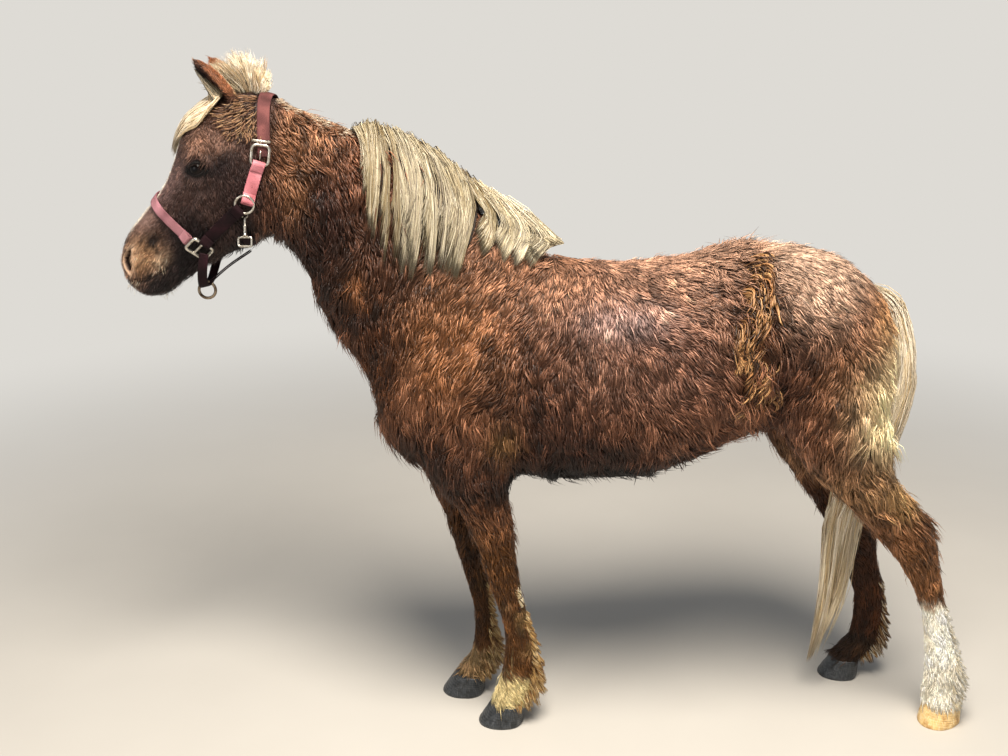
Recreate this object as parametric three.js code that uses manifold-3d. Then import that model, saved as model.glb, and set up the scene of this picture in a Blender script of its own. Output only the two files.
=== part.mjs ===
// A Shetland pony in its winter coat, standing broadside with the head to -X, at life size.
// Millimetres, +Z up, the soles of the four hooves on Z = 0. The pony's left side, the near side, is at -Y.
// The body is lofted from cross-sections, joined into one solid, and parted by thin cuts into named pieces.

import * as THREE from "three";
import { mergeVertices } from "three/addons/utils/BufferGeometryUtils.js";
import Module from "manifold-3d";

const wasm = await Module();
wasm.setup();

// Driving dimensions
const CUT = 0.3; // width of the thin cuts that part one piece from the next
const NEAR = -1; // the pony's left side
const OFF = 1; // the pony's right side
const HOOF_HEIGHT = 48; // horn wall that shows under the hair of the coronet
const MANE_DEPTH = 24; // thickness of the mane over the neck
const EYE_RADIUS = 18;
const EYE_OPENING = 14.5; // radius of the round opening between the lids
const EYE_ALONG = 165; // the eye's place in the head's frame, as the nostril's below
const EYE_FRONT = 14;
const EYE_APART = 73; // distance of the eyeball's centre from the middle
const NOSTRIL_ALONG = 415;
const NOSTRIL_FRONT = 24;
const NOSTRIL_APART = 49;
const NOSTRIL_SIZE = [7, 9, 14]; // half sizes of the hollow
const NOSTRIL_SLANT = -0.4;
const EAR_LENGTH = 122;
const EAR_WIDTH = 27; // scale of half the ear's breadth
const EAR_FLATNESS = 0.72;
const EAR_WALL = 0.2; // share of the ear's breadth that its wall takes
const EAR_ROOT = new THREE.Vector3(-588, 47, 1330);
const EAR_LEAN = new THREE.Vector3(-78, 13, 95);
const EAR_MOUTH = new THREE.Vector3(-0.7, 0.6, -0.4);
const MANE_OVER_CREST = 20; // how far the mane reaches past the crest on the off side
const MANE_LOCKS = 7;
const STRAP_WIDTH = 25;
const STRAP_THICKNESS = 4;
const STRAP_GAP = 0.5; // the straps lie this far off the coat
const WIRE = 2.6; // radius of the halter's metal rod
const SMOOTHING = 0.15; // the most that joining small faces may move the surface
const FAR_OUT = 500; // well outside the body on either side
const BETWEEN_FORE_LEGS = -18;
const CHEST_KEEL = 40; // half of the brisket that stays with the trunk between the forearms
const BETWEEN_THIGHS = 12;

// Finishes: colour, roughness, metalness
const CHESTNUT = [0x8a4a26, 0.85];
const FLAXEN = [0xd9c190, 0.8];
const WHITE_HAIR = [0xe6dfcf, 0.85];
const DARK_HORN = [0x3a3c40, 0.45];
const PALE_HORN = [0xd8b060, 0.5];
const EYE = [0x1a1009, 0.1];
const WEBBING = [0xd06a6e, 0.8];
const DARK_WEBBING = [0x5a2c33, 0.8];
const STEEL = [0xb8b4aa, 0.35, 1];

// The head has a frame of its own: along runs from the poll to the lips, front stands off towards the face.
const POLL = new THREE.Vector2(-550, 1335);
const LIPS = new THREE.Vector2(-845, 970);
const along = LIPS.clone().sub(POLL).normalize();
const front = new THREE.Vector2(along.y, -along.x);

// Cross-sections of the trunk from the breast to the buttocks:
// place along the body, top, bottom, half width, where it is widest (0 top, 1 bottom), fullness of the top
const TRUNK = [
  [-348, 770, 690, 42, 0.5, 2.0],
  [-326, 850, 636, 100, 0.5, 2.0],
  [-285, 900, 598, 140, 0.5, 2.0],
  [-225, 950, 576, 164, 0.5, 1.9],
  [-150, 995, 566, 180, 0.52, 1.8],
  [-70, 1024, 562, 190, 0.55, 1.7],
  [0, 1040, 560, 197, 0.56, 1.65],
  [50, 1038, 560, 203, 0.56, 1.75],
  [100, 1026, 560, 210, 0.56, 1.9],
  [180, 1024, 564, 217, 0.56, 2.1],
  [250, 1029, 576, 220, 0.54, 2.2],
  [320, 1040, 604, 218, 0.52, 2.2],
  [390, 1051, 642, 213, 0.48, 2.2],
  [460, 1058, 664, 207, 0.46, 2.15],
  [530, 1056, 684, 200, 0.44, 2.1],
  [600, 1041, 700, 188, 0.44, 2.1],
  [655, 1012, 730, 162, 0.46, 2.0],
  [700, 962, 775, 120, 0.5, 2.0],
  [722, 905, 830, 62, 0.5, 2.0],
];

// The neck from the head to the shoulder: crest, underside, half width
const NECK = [
  [-537, 1342, -556, 1085, 60],
  [-475, 1334, -510, 1043, 64],
  [-387, 1297, -478, 981, 69],
  [-298, 1269, -455, 914, 78],
  [-220, 1218, -427, 864, 89],
  [-141, 1150, -395, 820, 106],
  [-75, 1104, -366, 774, 126],
  [-15, 1060, -347, 706, 146],
  [45, 1024, -312, 640, 160],
];

// The head from the poll to the lips, in its own frame: place along it, face, jaw, half width
const HEAD = [
  [-30, -14, -64, 20],
  [-22, 4, -84, 38],
  [-6, 30, -118, 54],
  [24, 62, -144, 66],
  [62, 84, -160, 77],
  [105, 95, -171, 88],
  [150, 88, -176, 93],
  [190, 73, -174, 88],
  [235, 62, -154, 77],
  [275, 59, -130, 66],
  [320, 61, -108, 57],
  [361, 62, -93, 53],
  [397, 57, -84, 54],
  [426, 43, -74, 52],
  [448, 22, -62, 45],
  [460, 2, -52, 32],
  [466, -14, -40, 15],
];

// The legs from the coronet up into the trunk: height, front, rear, half width, distance from the middle
const NEAR_FORE = [
  [48, -110, -28, 42, 82],
  [76, -103, -12, 37, 83],
  [105, -91, 2, 35, 84],
  [140, -84, 4, 34, 86],
  [175, -81, 0, 31, 88],
  [210, -80, -8, 27, 90],
  [260, -86, -22, 26, 93],
  [300, -98, -32, 29, 95],
  [345, -112, -40, 35, 98],
  [385, -122, -44, 36, 100],
  [430, -135, -50, 36, 102],
  [490, -158, -55, 43, 105],
  [550, -200, -62, 52, 108],
  [610, -240, -48, 61, 110],
  [680, -262, -20, 66, 112],
  [760, -258, 10, 58, 112],
];
const OFF_FORE = [
  [48, -196, -116, 41, 46],
  [76, -174, -100, 36, 48],
  [105, -157, -90, 33, 51],
  [140, -153, -95, 32, 54],
  [175, -152, -101, 30, 58],
  [210, -156, -106, 27, 62],
  [260, -168, -112, 26, 67],
  [300, -181, -118, 29, 71],
  [345, -194, -124, 34, 76],
  [385, -205, -128, 35, 80],
  [430, -219, -133, 36, 85],
  [490, -243, -139, 43, 92],
  [550, -277, -142, 52, 99],
  [610, -298, -120, 60, 105],
  [680, -298, -70, 64, 110],
  [760, -280, -10, 58, 112],
];
const NEAR_HIND = [
  [48, 839, 926, 41, 85],
  [80, 839, 922, 36, 86],
  [115, 839, 926, 35, 88],
  [150, 838, 920, 34, 90],
  [190, 833, 907, 31, 92],
  [235, 825, 892, 28, 95],
  [280, 815, 876, 28, 98],
  [325, 796, 861, 31, 101],
  [370, 770, 850, 35, 104],
  [415, 736, 841, 40, 107],
  [460, 699, 831, 43, 109],
  [500, 664, 812, 45, 111],
  [545, 612, 768, 51, 113],
  [590, 560, 735, 63, 114],
  [640, 517, 726, 78, 112],
  [700, 484, 718, 89, 109],
  [770, 455, 711, 93, 107],
  [850, 442, 705, 92, 106],
  [925, 460, 684, 80, 104],
  [985, 505, 640, 56, 100],
];
const OFF_HIND = [
  [48, 686, 769, 41, 120],
  [76, 707, 796, 36, 120],
  [106, 728, 812, 35, 119],
  [140, 733, 814, 34, 119],
  [175, 733, 811, 31, 118],
  [210, 730, 806, 29, 118],
  [250, 714, 797, 28, 117],
  [290, 696, 786, 28, 117],
  [330, 680, 781, 31, 116],
  [375, 660, 778, 36, 115],
  [420, 634, 778, 40, 114],
  [465, 604, 775, 43, 113],
  [510, 568, 760, 46, 112],
  [555, 532, 736, 52, 111],
  [600, 502, 716, 63, 110],
  [645, 484, 707, 77, 109],
  [700, 468, 702, 88, 108],
  [770, 452, 700, 92, 107],
  [850, 442, 697, 92, 106],
  [925, 460, 678, 80, 104],
  [985, 505, 636, 56, 100],
];

// The tail from the dock to the tip, swept forward between the hind legs:
// outer edge, inner edge, half width, distance from the middle
const TAIL = [
  [680, 1000, 668, 950, 22, 0],
  [725, 981, 694, 925, 27, 0],
  [757, 941, 716, 903, 34, 0],
  [779, 885, 731, 866, 40, 0],
  [792, 825, 740, 815, 43, 0],
  [796, 764, 736, 756, 42, 0],
  [787, 697, 728, 702, 37, 1],
  [771, 629, 704, 648, 31, 3],
  [749, 565, 668, 592, 28, 6],
  [724, 505, 634, 535, 26, 9],
  [704, 440, 621, 455, 25, 13],
  [699, 370, 618, 378, 24, 16],
  [698, 310, 621, 310, 21, 18],
  [687, 255, 620, 250, 17, 20],
  [664, 195, 617, 190, 12, 20],
  [636, 125, 612, 120, 7, 20],
  [618, 76, 611, 74, 3, 20],
];

// The upright brush of hair behind the ears: height, front, rear, half width
const BRUSH = [
  [1325, -598, -540, 24, 0],
  [1358, -613, -534, 29, 0],
  [1388, -618, -529, 29, 0],
  [1413, -608, -531, 22, 0],
  [1432, -584, -552, 8, 0],
];

// The forelock down the forehead, in the head's frame: place along it, outer face, inner face, half width
const FORELOCK = [
  [8, 92, 20, 20],
  [40, 107, 36, 29],
  [75, 111, 60, 33],
  [108, 108, 70, 33],
  [140, 100, 74, 29],
  [170, 89, 70, 20],
  [196, 76, 62, 8],
];

// The hooves: toe and heel on the ground, half width, distance from the middle, turn outwards in degrees,
// and how far the coronet's front and rear lie behind the toe and ahead of the heel
const HOOVES = {
  near_fore: { toe: -139, heel: -38, half: 46, middle: -82, turn: 6, slope: 33, heelSlope: 4, side: NEAR },
  off_fore: { toe: -228, heel: -128, half: 46, middle: 46, turn: 0, slope: 34, heelSlope: 2, side: OFF },
  near_hind: { toe: 834, heel: 931, half: 43, middle: -85, turn: 42, slope: 14, heelSlope: 6, side: NEAR },
  off_hind: { toe: 659, heel: 752, half: 43, middle: 120, turn: 4, slope: 33, heelSlope: 3, side: OFF },
};

// Where the body is parted, as outlines seen from the side, clockwise
const outlineOf = (points) => points.map(([x, z]) => new THREE.Vector2(x, z));
const HEAD_PART = outlineOf([[-1000, 900], [-1000, 1600], [-481, 1600], [-566, 900]]);
const NECK_PART = outlineOf([[-1000, 640], [-1000, 1700], [260, 1700], [260, 1283], [-498, 640]]);
const FORE_CANNON_PART = outlineOf([[-420, -50], [-420, 322], [60, 322], [60, -50]]);
const FOREARM_PART = outlineOf([[-420, -50], [-420, 605], [-44, 605], [60, 400], [60, -50]]);
const NEAR_HIND_CANNON_PART = outlineOf([[600, -50], [600, 380], [960, 440], [960, -50]]);
const OFF_HIND_CANNON_PART = outlineOf([[540, -50], [540, 395], [900, 435], [900, -50]]);
const THIGH_PART = outlineOf([[425, -50], [425, 640], [452, 740], [720, 905], [1000, 905], [1000, -50]]);

// The mane seen from the side: its front edge, the ends of its fringe, and its rear lock and top
const MANE_FRONT = outlineOf([[-382, 1330], [-352, 1250], [-326, 1180], [-322, 1040]]);
const MANE_FRINGE_FRONT = new THREE.Vector2(-318, 1018);
const MANE_FRINGE_REAR = new THREE.Vector2(-92, 1040);
const MANE_REAR = outlineOf([[-45, 1028], [-30, 1050], [12, 1045], [40, 1080], [-60, 1200], [-300, 1360]]);

// The halter seen from the side: where each strap's middle starts and ends, and the places of its metal
const CROWN = outlineOf([[-535, 1400], [-536, 1262]]);
const CHEEKPIECE = outlineOf([[-545, 1230], [-572, 1150]]);
const NOSEBAND = outlineOf([[-797, 1177], [-699, 1075]]);
const NOSEBAND_WIDTH = 20;
const LOWER_CHEEK = outlineOf([[-664, 1072], [-590, 1138]]);
const THROAT = outlineOf([[-583, 1085], [-596, 1000]]);
const OFF_THROAT = outlineOf([[-578, 1132], [-583, 1080]]);
const CHEEK_LIMIT = 20; // the straps of one cheek end this far from the middle
const BUCKLE_PLACE = new THREE.Vector2(-543, 1246);
const BUCKLE_SIZE = [38, 52];
const BUCKLE_TURN = 0.15;
const RING_PLACE = new THREE.Vector2(-577, 1149);
const RING_RADIUS = 18;
const SQUARE_PLACE = new THREE.Vector2(-681, 1058);
const SQUARE_SIZE = [36, 44];
const SQUARE_TURN = -0.75;
const CHIN_LOOP = [[-670, -64, 1044], [-678, -57, 1010], [-685, -34, 977], [-687, 0, 965]];
const LOOSE_WIDTH = 20;
const LOOSE_THICKNESS = 3;
const JAW_STRAP = [[-599, 0, 1034], [-637, 0, 1010], [-671, 0, 982]];
const JAW_STRAP_SIZE = [13, 8]; // the doubled strap, seen from the side and across
const LEAD_RING_RADIUS = 17;
const LEAD_RING_PLACE = [-687, 0, 958];
const SNAP_FOOT = [-582, -80, 1082];
const SNAP_TILT = -0.24; // the snap hangs in towards the throat
const SNAP_LENGTH = 42;
const SNAP_RADIUS = 3.2;
const SNAP_LOOP = [30, 22];

// A distance along one axis of a superellipse, whose fullness is 2 on an ellipse and more on a squarer one.
const bulge = (value, fullness) => Math.sign(value) * Math.abs(value) ** (2 / fullness);

// One egg-shaped cross-section from one end point to the other, in the plane of the pony's length,
// with its half width on each side of a middle. Grow makes it that much bigger all round.
function crossSection({ from, to, half, middle = 0, widest = 0.5, fullFrom = 2.2, fullTo = 2.2 }, sides, grow) {
  const span = to.clone().sub(from);
  const length = span.length();
  const way = span.divideScalar(length);
  const belt = from.clone().addScaledVector(way, widest * length);
  const points = [];
  for (let i = 0; i < sides; i++) {
    const angle = (2 * Math.PI * i) / sides;
    const towards = Math.cos(angle);
    const reach = towards > 0 ? -widest * length - grow : (1 - widest) * length + grow;
    const fullness = towards > 0 ? fullFrom : fullTo;
    const place = belt.clone().addScaledVector(way, reach * Math.abs(bulge(towards, fullness)));
    points.push(new THREE.Vector3(place.x, middle + (half + grow) * bulge(Math.sin(angle), fullness), place.y));
  }
  return points;
}

// The closed surface through a row of cross-sections, with a fan over each end.
function loft(sections, sides, grow = 0) {
  const rings = sections.map((section) => crossSection(section, sides, grow));
  const middles = rings.map((ring) => ring.reduce((sum, p) => sum.add(p), new THREE.Vector3()).divideScalar(sides));
  const last = rings.length - 1;
  for (const [end, inner] of [[0, 1], [last, last - 1]]) {
    const out = middles[end].clone().sub(middles[inner]).setLength(grow);
    for (const point of [...rings[end], middles[end]]) point.add(out);
  }
  const points = rings.flat();
  const indices = [];
  for (let r = 0; r + 1 < rings.length; r++) {
    for (let i = 0; i < sides; i++) {
      const a = r * sides + i;
      const b = r * sides + ((i + 1) % sides);
      indices.push(a, b, a + sides, b, b + sides, a + sides);
    }
  }
  for (const ring of [0, last]) {
    for (let i = 0; i < sides; i++) {
      const a = ring * sides + i;
      const b = ring * sides + ((i + 1) % sides);
      indices.push(...(ring ? [a, b, points.length] : [b, a, points.length]));
    }
    points.push(middles[ring]);
  }
  return new THREE.BufferGeometry().setFromPoints(points).setIndex(indices);
}

// A closed three.js geometry as a solid that can be joined and cut.
function solid(geometry) {
  const bare = geometry.clone();
  bare.deleteAttribute("normal");
  bare.deleteAttribute("uv");
  const merged = mergeVertices(bare, 1e-3);
  const numbers = { numProp: 3, vertProperties: merged.attributes.position.array };
  const triVerts = new Uint32Array(merged.index.array);
  const made = new wasm.Manifold(new wasm.Mesh({ ...numbers, triVerts }));
  return made.volume() > 0 ? made : new wasm.Manifold(new wasm.Mesh({ ...numbers, triVerts: triVerts.reverse() }));
}

// A solid as a three.js geometry.
function geometryOf(made) {
  const { vertProperties, triVerts } = made.getMesh();
  const geometry = new THREE.BufferGeometry();
  geometry.setAttribute("position", new THREE.BufferAttribute(vertProperties, 3));
  geometry.setIndex(new THREE.BufferAttribute(triVerts, 1));
  return geometry;
}

// The biggest lump of a solid that a cut left in several.
const biggest = (made) => made.decompose().reduce((a, b) => (b.volume() > a.volume() ? b : a));

const join = (solids) => solids.reduce((sum, next) => sum.add(next));

// Rows of numbers read as cross-sections
const headPoint = (u, v) => POLL.clone().addScaledVector(along, u).addScaledVector(front, v);
const trunkSection = ([x, top, bottom, half, widest, fullFrom]) => ({
  from: new THREE.Vector2(x, top),
  to: new THREE.Vector2(x, bottom),
  half,
  widest,
  fullFrom,
});
const neckSection = ([crestX, crestZ, underX, underZ, half]) => ({
  from: new THREE.Vector2(crestX, crestZ),
  to: new THREE.Vector2(underX, underZ),
  half,
  widest: 0.58,
  fullFrom: 1.75,
  fullTo: 2.1,
});
const headSection = ([u, face, jaw, half]) => ({
  from: headPoint(u, face),
  to: headPoint(u, jaw),
  half,
  widest: 0.36,
  fullFrom: 2.5,
  fullTo: 2.3,
});
const forelockSection = ([u, outer, inner, half]) => ({
  from: headPoint(u, outer),
  to: headPoint(u, inner),
  half,
});
const tailSection = ([outerX, outerZ, innerX, innerZ, half, middle]) => ({
  from: new THREE.Vector2(outerX, outerZ),
  to: new THREE.Vector2(innerX, innerZ),
  half,
  middle,
});
const levelSection = (side) => ([z, ahead, behind, half, apart]) => ({
  from: new THREE.Vector2(ahead, z),
  to: new THREE.Vector2(behind, z),
  half,
  middle: side * apart,
  widest: 0.48,
});

// Every part of flesh, each bigger by the same amount all round
const FLESH = {
  trunk: (grow) => loft(TRUNK.map(trunkSection), 20, grow),
  neck: (grow) => loft(NECK.map(neckSection), 18, grow),
  head: (grow) => loft(HEAD.map(headSection), 18, grow),
  near_fore: (grow) => loft(NEAR_FORE.map(levelSection(NEAR)), 12, grow),
  off_fore: (grow) => loft(OFF_FORE.map(levelSection(OFF)), 12, grow),
  near_hind: (grow) => loft(NEAR_HIND.map(levelSection(NEAR)), 12, grow),
  off_hind: (grow) => loft(OFF_HIND.map(levelSection(OFF)), 12, grow),
};
const fleshOf = (names, grow) => join(names.map((name) => solid(FLESH[name](grow))));
const whole = fleshOf(Object.keys(FLESH), 0);
const wholeWithGap = fleshOf(Object.keys(FLESH), CUT);

const at = (x, z) => new THREE.Vector2(x, z);

// A block with the given outline seen from the side, between two distances from the middle.
function block(outline, nearLimit, offLimit) {
  const geometry = new THREE.ExtrudeGeometry(new THREE.Shape(outline), {
    depth: offLimit - nearLimit,
    bevelEnabled: false,
    steps: 1,
  });
  return solid(geometry.rotateX(Math.PI / 2).translate(0, offLimit, 0));
}

// A convex outline, its points given clockwise, with every edge moved out by a distance.
function outset(outline, distance) {
  const edges = outline.map((start, i) => {
    const way = outline[(i + 1) % outline.length].clone().sub(start).normalize();
    return { start: start.clone().addScaledVector(at(-way.y, way.x), distance), way };
  });
  return edges.map((edge, i) => {
    const before = edges[(i + edges.length - 1) % edges.length];
    const reach = edge.start.clone().sub(before.start).cross(edge.way) / before.way.cross(edge.way);
    return before.start.clone().addScaledVector(before.way, reach);
  });
}

// The outline of a strip of a given width along a straight line.
function strip(start, end, width) {
  const aside = end.clone().sub(start).normalize().rotateAround(at(0, 0), Math.PI / 2).multiplyScalar(width / 2);
  return [start.clone().add(aside), end.clone().add(aside), end.clone().sub(aside), start.clone().sub(aside)];
}

// An ear: a pointed cup from a lathe of its outline, flattened from front to back, its mouth scooped out.
function earCup(breadth, length, flatness) {
  const steps = 7;
  const profile = [at(0, 0)];
  for (let i = 0; i < steps; i++) {
    const t = i / steps;
    profile.push(at(breadth * (0.65 + 1.04 * t) * (1 - t ** 2.2) ** 0.85, t * length));
  }
  profile.push(at(0, length));
  return new THREE.LatheGeometry(profile, 10).scale(1, 1, flatness);
}
function ear(side, grow) {
  const outer = solid(earCup(EAR_WIDTH + grow, EAR_LENGTH + grow, EAR_FLATNESS));
  const scoop = earCup(EAR_WIDTH * (1 - EAR_WALL), EAR_LENGTH * 0.86, EAR_FLATNESS * 0.9);
  const cup = grow > 0 ? outer : outer.subtract(solid(scoop.translate(0, EAR_LENGTH * 0.14, EAR_WIDTH * 0.42)));
  const tip = new THREE.Vector3(EAR_LEAN.x, side * EAR_LEAN.y, EAR_LEAN.z).normalize();
  const mouth = new THREE.Vector3(EAR_MOUTH.x, side * EAR_MOUTH.y, EAR_MOUTH.z);
  const across = new THREE.Vector3().crossVectors(tip, mouth).normalize();
  const facing = new THREE.Vector3().crossVectors(across, tip);
  const turn = new THREE.Matrix4().makeBasis(across, tip, facing);
  return cup.transform(turn.setPosition(EAR_ROOT.x, side * EAR_ROOT.y, EAR_ROOT.z).elements);
}

// A hoof: the wall slopes out from the coronet to the ground, and the sole is flat.
function hoof({ toe, heel, half, middle, turn, slope, heelSlope, side }) {
  const length = heel - toe;
  const rows = [0, 0.12, 1].map((t) => {
    const rim = t === 0 ? 1.5 : 0;
    return {
      from: at(-length / 2 + slope * t + rim, t * (HOOF_HEIGHT - CUT)),
      to: at(length / 2 + heelSlope * t - rim, t * (HOOF_HEIGHT - CUT)),
      half: half * (1 - 0.13 * t) - rim,
      widest: 0.56,
      fullFrom: 2.1,
      fullTo: 2.6,
    };
  });
  const geometry = loft(rows, 18);
  return solid(geometry.rotateZ(-side * THREE.MathUtils.degToRad(turn)).translate((toe + heel) / 2, middle, 0));
}

const pony = new THREE.Group();
function add(name, made, [color, roughness, metalness = 0]) {
  const mesh = new THREE.Mesh(
    geometryOf(biggest(made).simplify(SMOOTHING)),
    new THREE.MeshStandardMaterial({ color, roughness, metalness }),
  );
  mesh.name = name;
  pony.add(mesh);
}

// The eyes, and the sockets and nostrils that open through the coat
const eyePlace = headPoint(EYE_ALONG, EYE_FRONT);
const nostrilPlace = headPoint(NOSTRIL_ALONG, NOSTRIL_FRONT);
const eyeBall = (side, radius) =>
  solid(new THREE.SphereGeometry(radius, 12, 8).translate(eyePlace.x, side * EYE_APART, eyePlace.y));
const eyeOpening = (side) => {
  const length = 2 * EYE_APART;
  const opening = new THREE.CylinderGeometry(EYE_OPENING, EYE_OPENING, length, 12);
  return solid(opening.translate(eyePlace.x, side * (EYE_APART + length / 2), eyePlace.y));
};
const nostril = (side) => {
  const hollow = new THREE.SphereGeometry(1, 8, 6).scale(...NOSTRIL_SIZE).rotateY(NOSTRIL_SLANT);
  return solid(hollow.translate(nostrilPlace.x, side * NOSTRIL_APART, nostrilPlace.y));
};

// The body is parted from its ends inwards, and what is left at last is the trunk.
let rest = whole;
for (const side of [NEAR, OFF]) {
  add(side === NEAR ? "near_eye" : "off_eye", eyeBall(side, EYE_RADIUS), EYE);
  rest = rest.subtract(eyeBall(side, EYE_RADIUS + CUT)).subtract(eyeOpening(side)).subtract(nostril(side));
}
function part(name, outline, nearLimit = -FAR_OUT, offLimit = FAR_OUT, looks = CHESTNUT) {
  add(name, rest.intersect(block(outline, nearLimit, offLimit)), looks);
  rest = rest.subtract(block(outset(outline, CUT), nearLimit - CUT, offLimit + CUT));
}
part("head", HEAD_PART);
part("neck", NECK_PART);
part("near_fore_cannon", FORE_CANNON_PART, -FAR_OUT, BETWEEN_FORE_LEGS - CUT);
part("off_fore_cannon", FORE_CANNON_PART, BETWEEN_FORE_LEGS + CUT, FAR_OUT);
part("near_forearm", FOREARM_PART, -FAR_OUT, -CHEST_KEEL);
part("off_forearm", FOREARM_PART, CHEST_KEEL, FAR_OUT);
part("near_hind_cannon", NEAR_HIND_CANNON_PART, -FAR_OUT, 0, WHITE_HAIR);
part("off_hind_cannon", OFF_HIND_CANNON_PART, 0, FAR_OUT);
part("near_thigh", THIGH_PART, -FAR_OUT, -BETWEEN_THIGHS);
part("off_thigh", THIGH_PART, BETWEEN_THIGHS, FAR_OUT);
add("trunk", rest, CHESTNUT);

for (const [name, shape] of Object.entries(HOOVES)) {
  add(`${name}_hoof`, hoof(shape), name === "near_hind" ? PALE_HORN : DARK_HORN);
}

// The halter's straps lie round the head: each is the shell just off the coat, within its strip.
const headAndNeck = (grow) => fleshOf(["head", "neck"], grow);
const strapShell = headAndNeck(STRAP_GAP + STRAP_THICKNESS).subtract(headAndNeck(STRAP_GAP));
const strapShellRoom = headAndNeck(STRAP_GAP + STRAP_THICKNESS + CUT);
let strapRoom;
function strap(name, runs, width, looks) {
  const run = ({ line: [start, end], near = -FAR_OUT, off = FAR_OUT }, grow) => {
    const longer = end.clone().sub(start).setLength(grow);
    const outline = strip(start.clone().sub(longer), end.clone().add(longer), width + 2 * grow);
    return block(outline, near - grow, off + grow);
  };
  const piece = strapShell.intersect(join(runs.map((each) => run(each, 0))));
  add(name, strapRoom ? piece.subtract(strapRoom) : piece, looks);
  const room = strapShellRoom.intersect(join(runs.map((each) => run(each, CUT))));
  strapRoom = strapRoom ? strapRoom.add(room) : room;
}
strap("halter_crown", [{ line: CROWN }], STRAP_WIDTH, WEBBING);
strap("halter_noseband", [{ line: NOSEBAND }], NOSEBAND_WIDTH, WEBBING);
strap("halter_throat", [{ line: THROAT }, { line: OFF_THROAT, near: CHEEK_LIMIT }], STRAP_WIDTH, DARK_WEBBING);
for (const [name, limits] of [["near", { off: -CHEEK_LIMIT }], ["off", { near: CHEEK_LIMIT }]]) {
  strap(`halter_${name}_cheekpiece`, [{ line: CHEEKPIECE, ...limits }], STRAP_WIDTH, WEBBING);
  strap(`halter_${name}_lower_cheek`, [{ line: LOWER_CHEEK, ...limits }], STRAP_WIDTH, DARK_WEBBING);
}

// A frame of metal rod: a rounded rectangle with a hole. Grow makes its rod that much thicker all round.
function frame([width, height], corner, grow = 0) {
  const bar = 1.7 * WIRE;
  const outline = (w, h, r) => {
    const shape = new THREE.Path();
    for (const [x, z, start] of [[1, 1, 0], [-1, 1, 1], [-1, -1, 2], [1, -1, 3]]) {
      shape.absarc(x * (w / 2 - r), z * (h / 2 - r), r, (start * Math.PI) / 2, ((start + 1) * Math.PI) / 2);
    }
    return shape.getPoints(2);
  };
  const shape = new THREE.Shape(outline(width + 2 * grow, height + 2 * grow, corner));
  const inside = 2 * (bar + grow);
  shape.holes.push(new THREE.Path(outline(width - inside, height - inside, corner - bar * 0.6)));
  const depth = 2 * (WIRE + grow);
  return new THREE.ExtrudeGeometry(shape, { depth, bevelEnabled: false }).translate(0, 0, -depth / 2);
}

// Metal is laid on the coat at a place seen from the side, turned about the line of sight, just off the straps.
const wholeMesh = new THREE.Mesh(geometryOf(whole), new THREE.MeshBasicMaterial({ side: THREE.DoubleSide }));
function coatAt(place, side) {
  const ray = new THREE.Raycaster(new THREE.Vector3(place.x, side * FAR_OUT, place.y), new THREE.Vector3(0, -side, 0));
  return ray.intersectObject(wholeMesh)[0];
}
function layOn(geometry, place, side, turn) {
  const { point, face } = coatAt(place, side);
  const outward = face.normal.clone();
  const upright = new THREE.Vector3(Math.sin(turn), 0, Math.cos(turn));
  const across = new THREE.Vector3().crossVectors(upright, outward).normalize();
  upright.crossVectors(outward, across);
  const basis = new THREE.Matrix4().makeBasis(across, upright, outward);
  const off = STRAP_GAP + STRAP_THICKNESS + CUT + WIRE;
  return geometry.applyMatrix4(basis.setPosition(point.addScaledVector(outward, off)));
}
function metal(name, geometry, place, side, turn) {
  add(name, solid(layOn(geometry, place, side, turn)).subtract(strapRoom).subtract(wholeWithGap), STEEL);
}
for (const [side, name] of [[NEAR, "near"], [OFF, "off"]]) {
  metal(`halter_${name}_buckle`, frame(BUCKLE_SIZE, 9), BUCKLE_PLACE, side, BUCKLE_TURN);
  metal(`halter_${name}_ring`, new THREE.TorusGeometry(RING_RADIUS, WIRE, 5, 14), RING_PLACE, side, 0);
  metal(`halter_${name}_square`, frame(SQUARE_SIZE, 7), SQUARE_PLACE, side, SQUARE_TURN);
}
const squareRoom = join([NEAR, OFF].map((side) =>
  solid(layOn(frame(SQUARE_SIZE, 7, CUT), SQUARE_PLACE, side, SQUARE_TURN))));

// The chin strap hangs in a loop from square to square, and the jaw strap runs back from it to the throat.
// A section has its size along the curve's normal and along its binormal.
function looseStrap(points, [alongNormal, alongBinormal]) {
  const curve = new THREE.CatmullRomCurve3(points.map((p) => new THREE.Vector3(...p)));
  const section = new THREE.Shape(strip(at(0, -alongBinormal / 2), at(0, alongBinormal / 2), alongNormal));
  const steps = 2 * points.length;
  const geometry = new THREE.ExtrudeGeometry(section, { steps, bevelEnabled: false, extrudePath: curve });
  return solid(geometry).subtract(wholeWithGap).subtract(strapRoom).subtract(squareRoom);
}
const otherHalf = CHIN_LOOP.slice(0, -1).reverse().map(([x, y, z]) => [x, -y, z]);
add("halter_chin", looseStrap([...CHIN_LOOP, ...otherHalf], [LOOSE_THICKNESS, LOOSE_WIDTH]), DARK_WEBBING);
add("halter_jaw_strap", looseStrap(JAW_STRAP, JAW_STRAP_SIZE.toReversed()), DARK_WEBBING);
const leadRing = new THREE.TorusGeometry(LEAD_RING_RADIUS, WIRE, 6, 14).rotateX(Math.PI / 2);
add("halter_lead_ring", solid(leadRing.translate(...LEAD_RING_PLACE)), STEEL);

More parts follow.
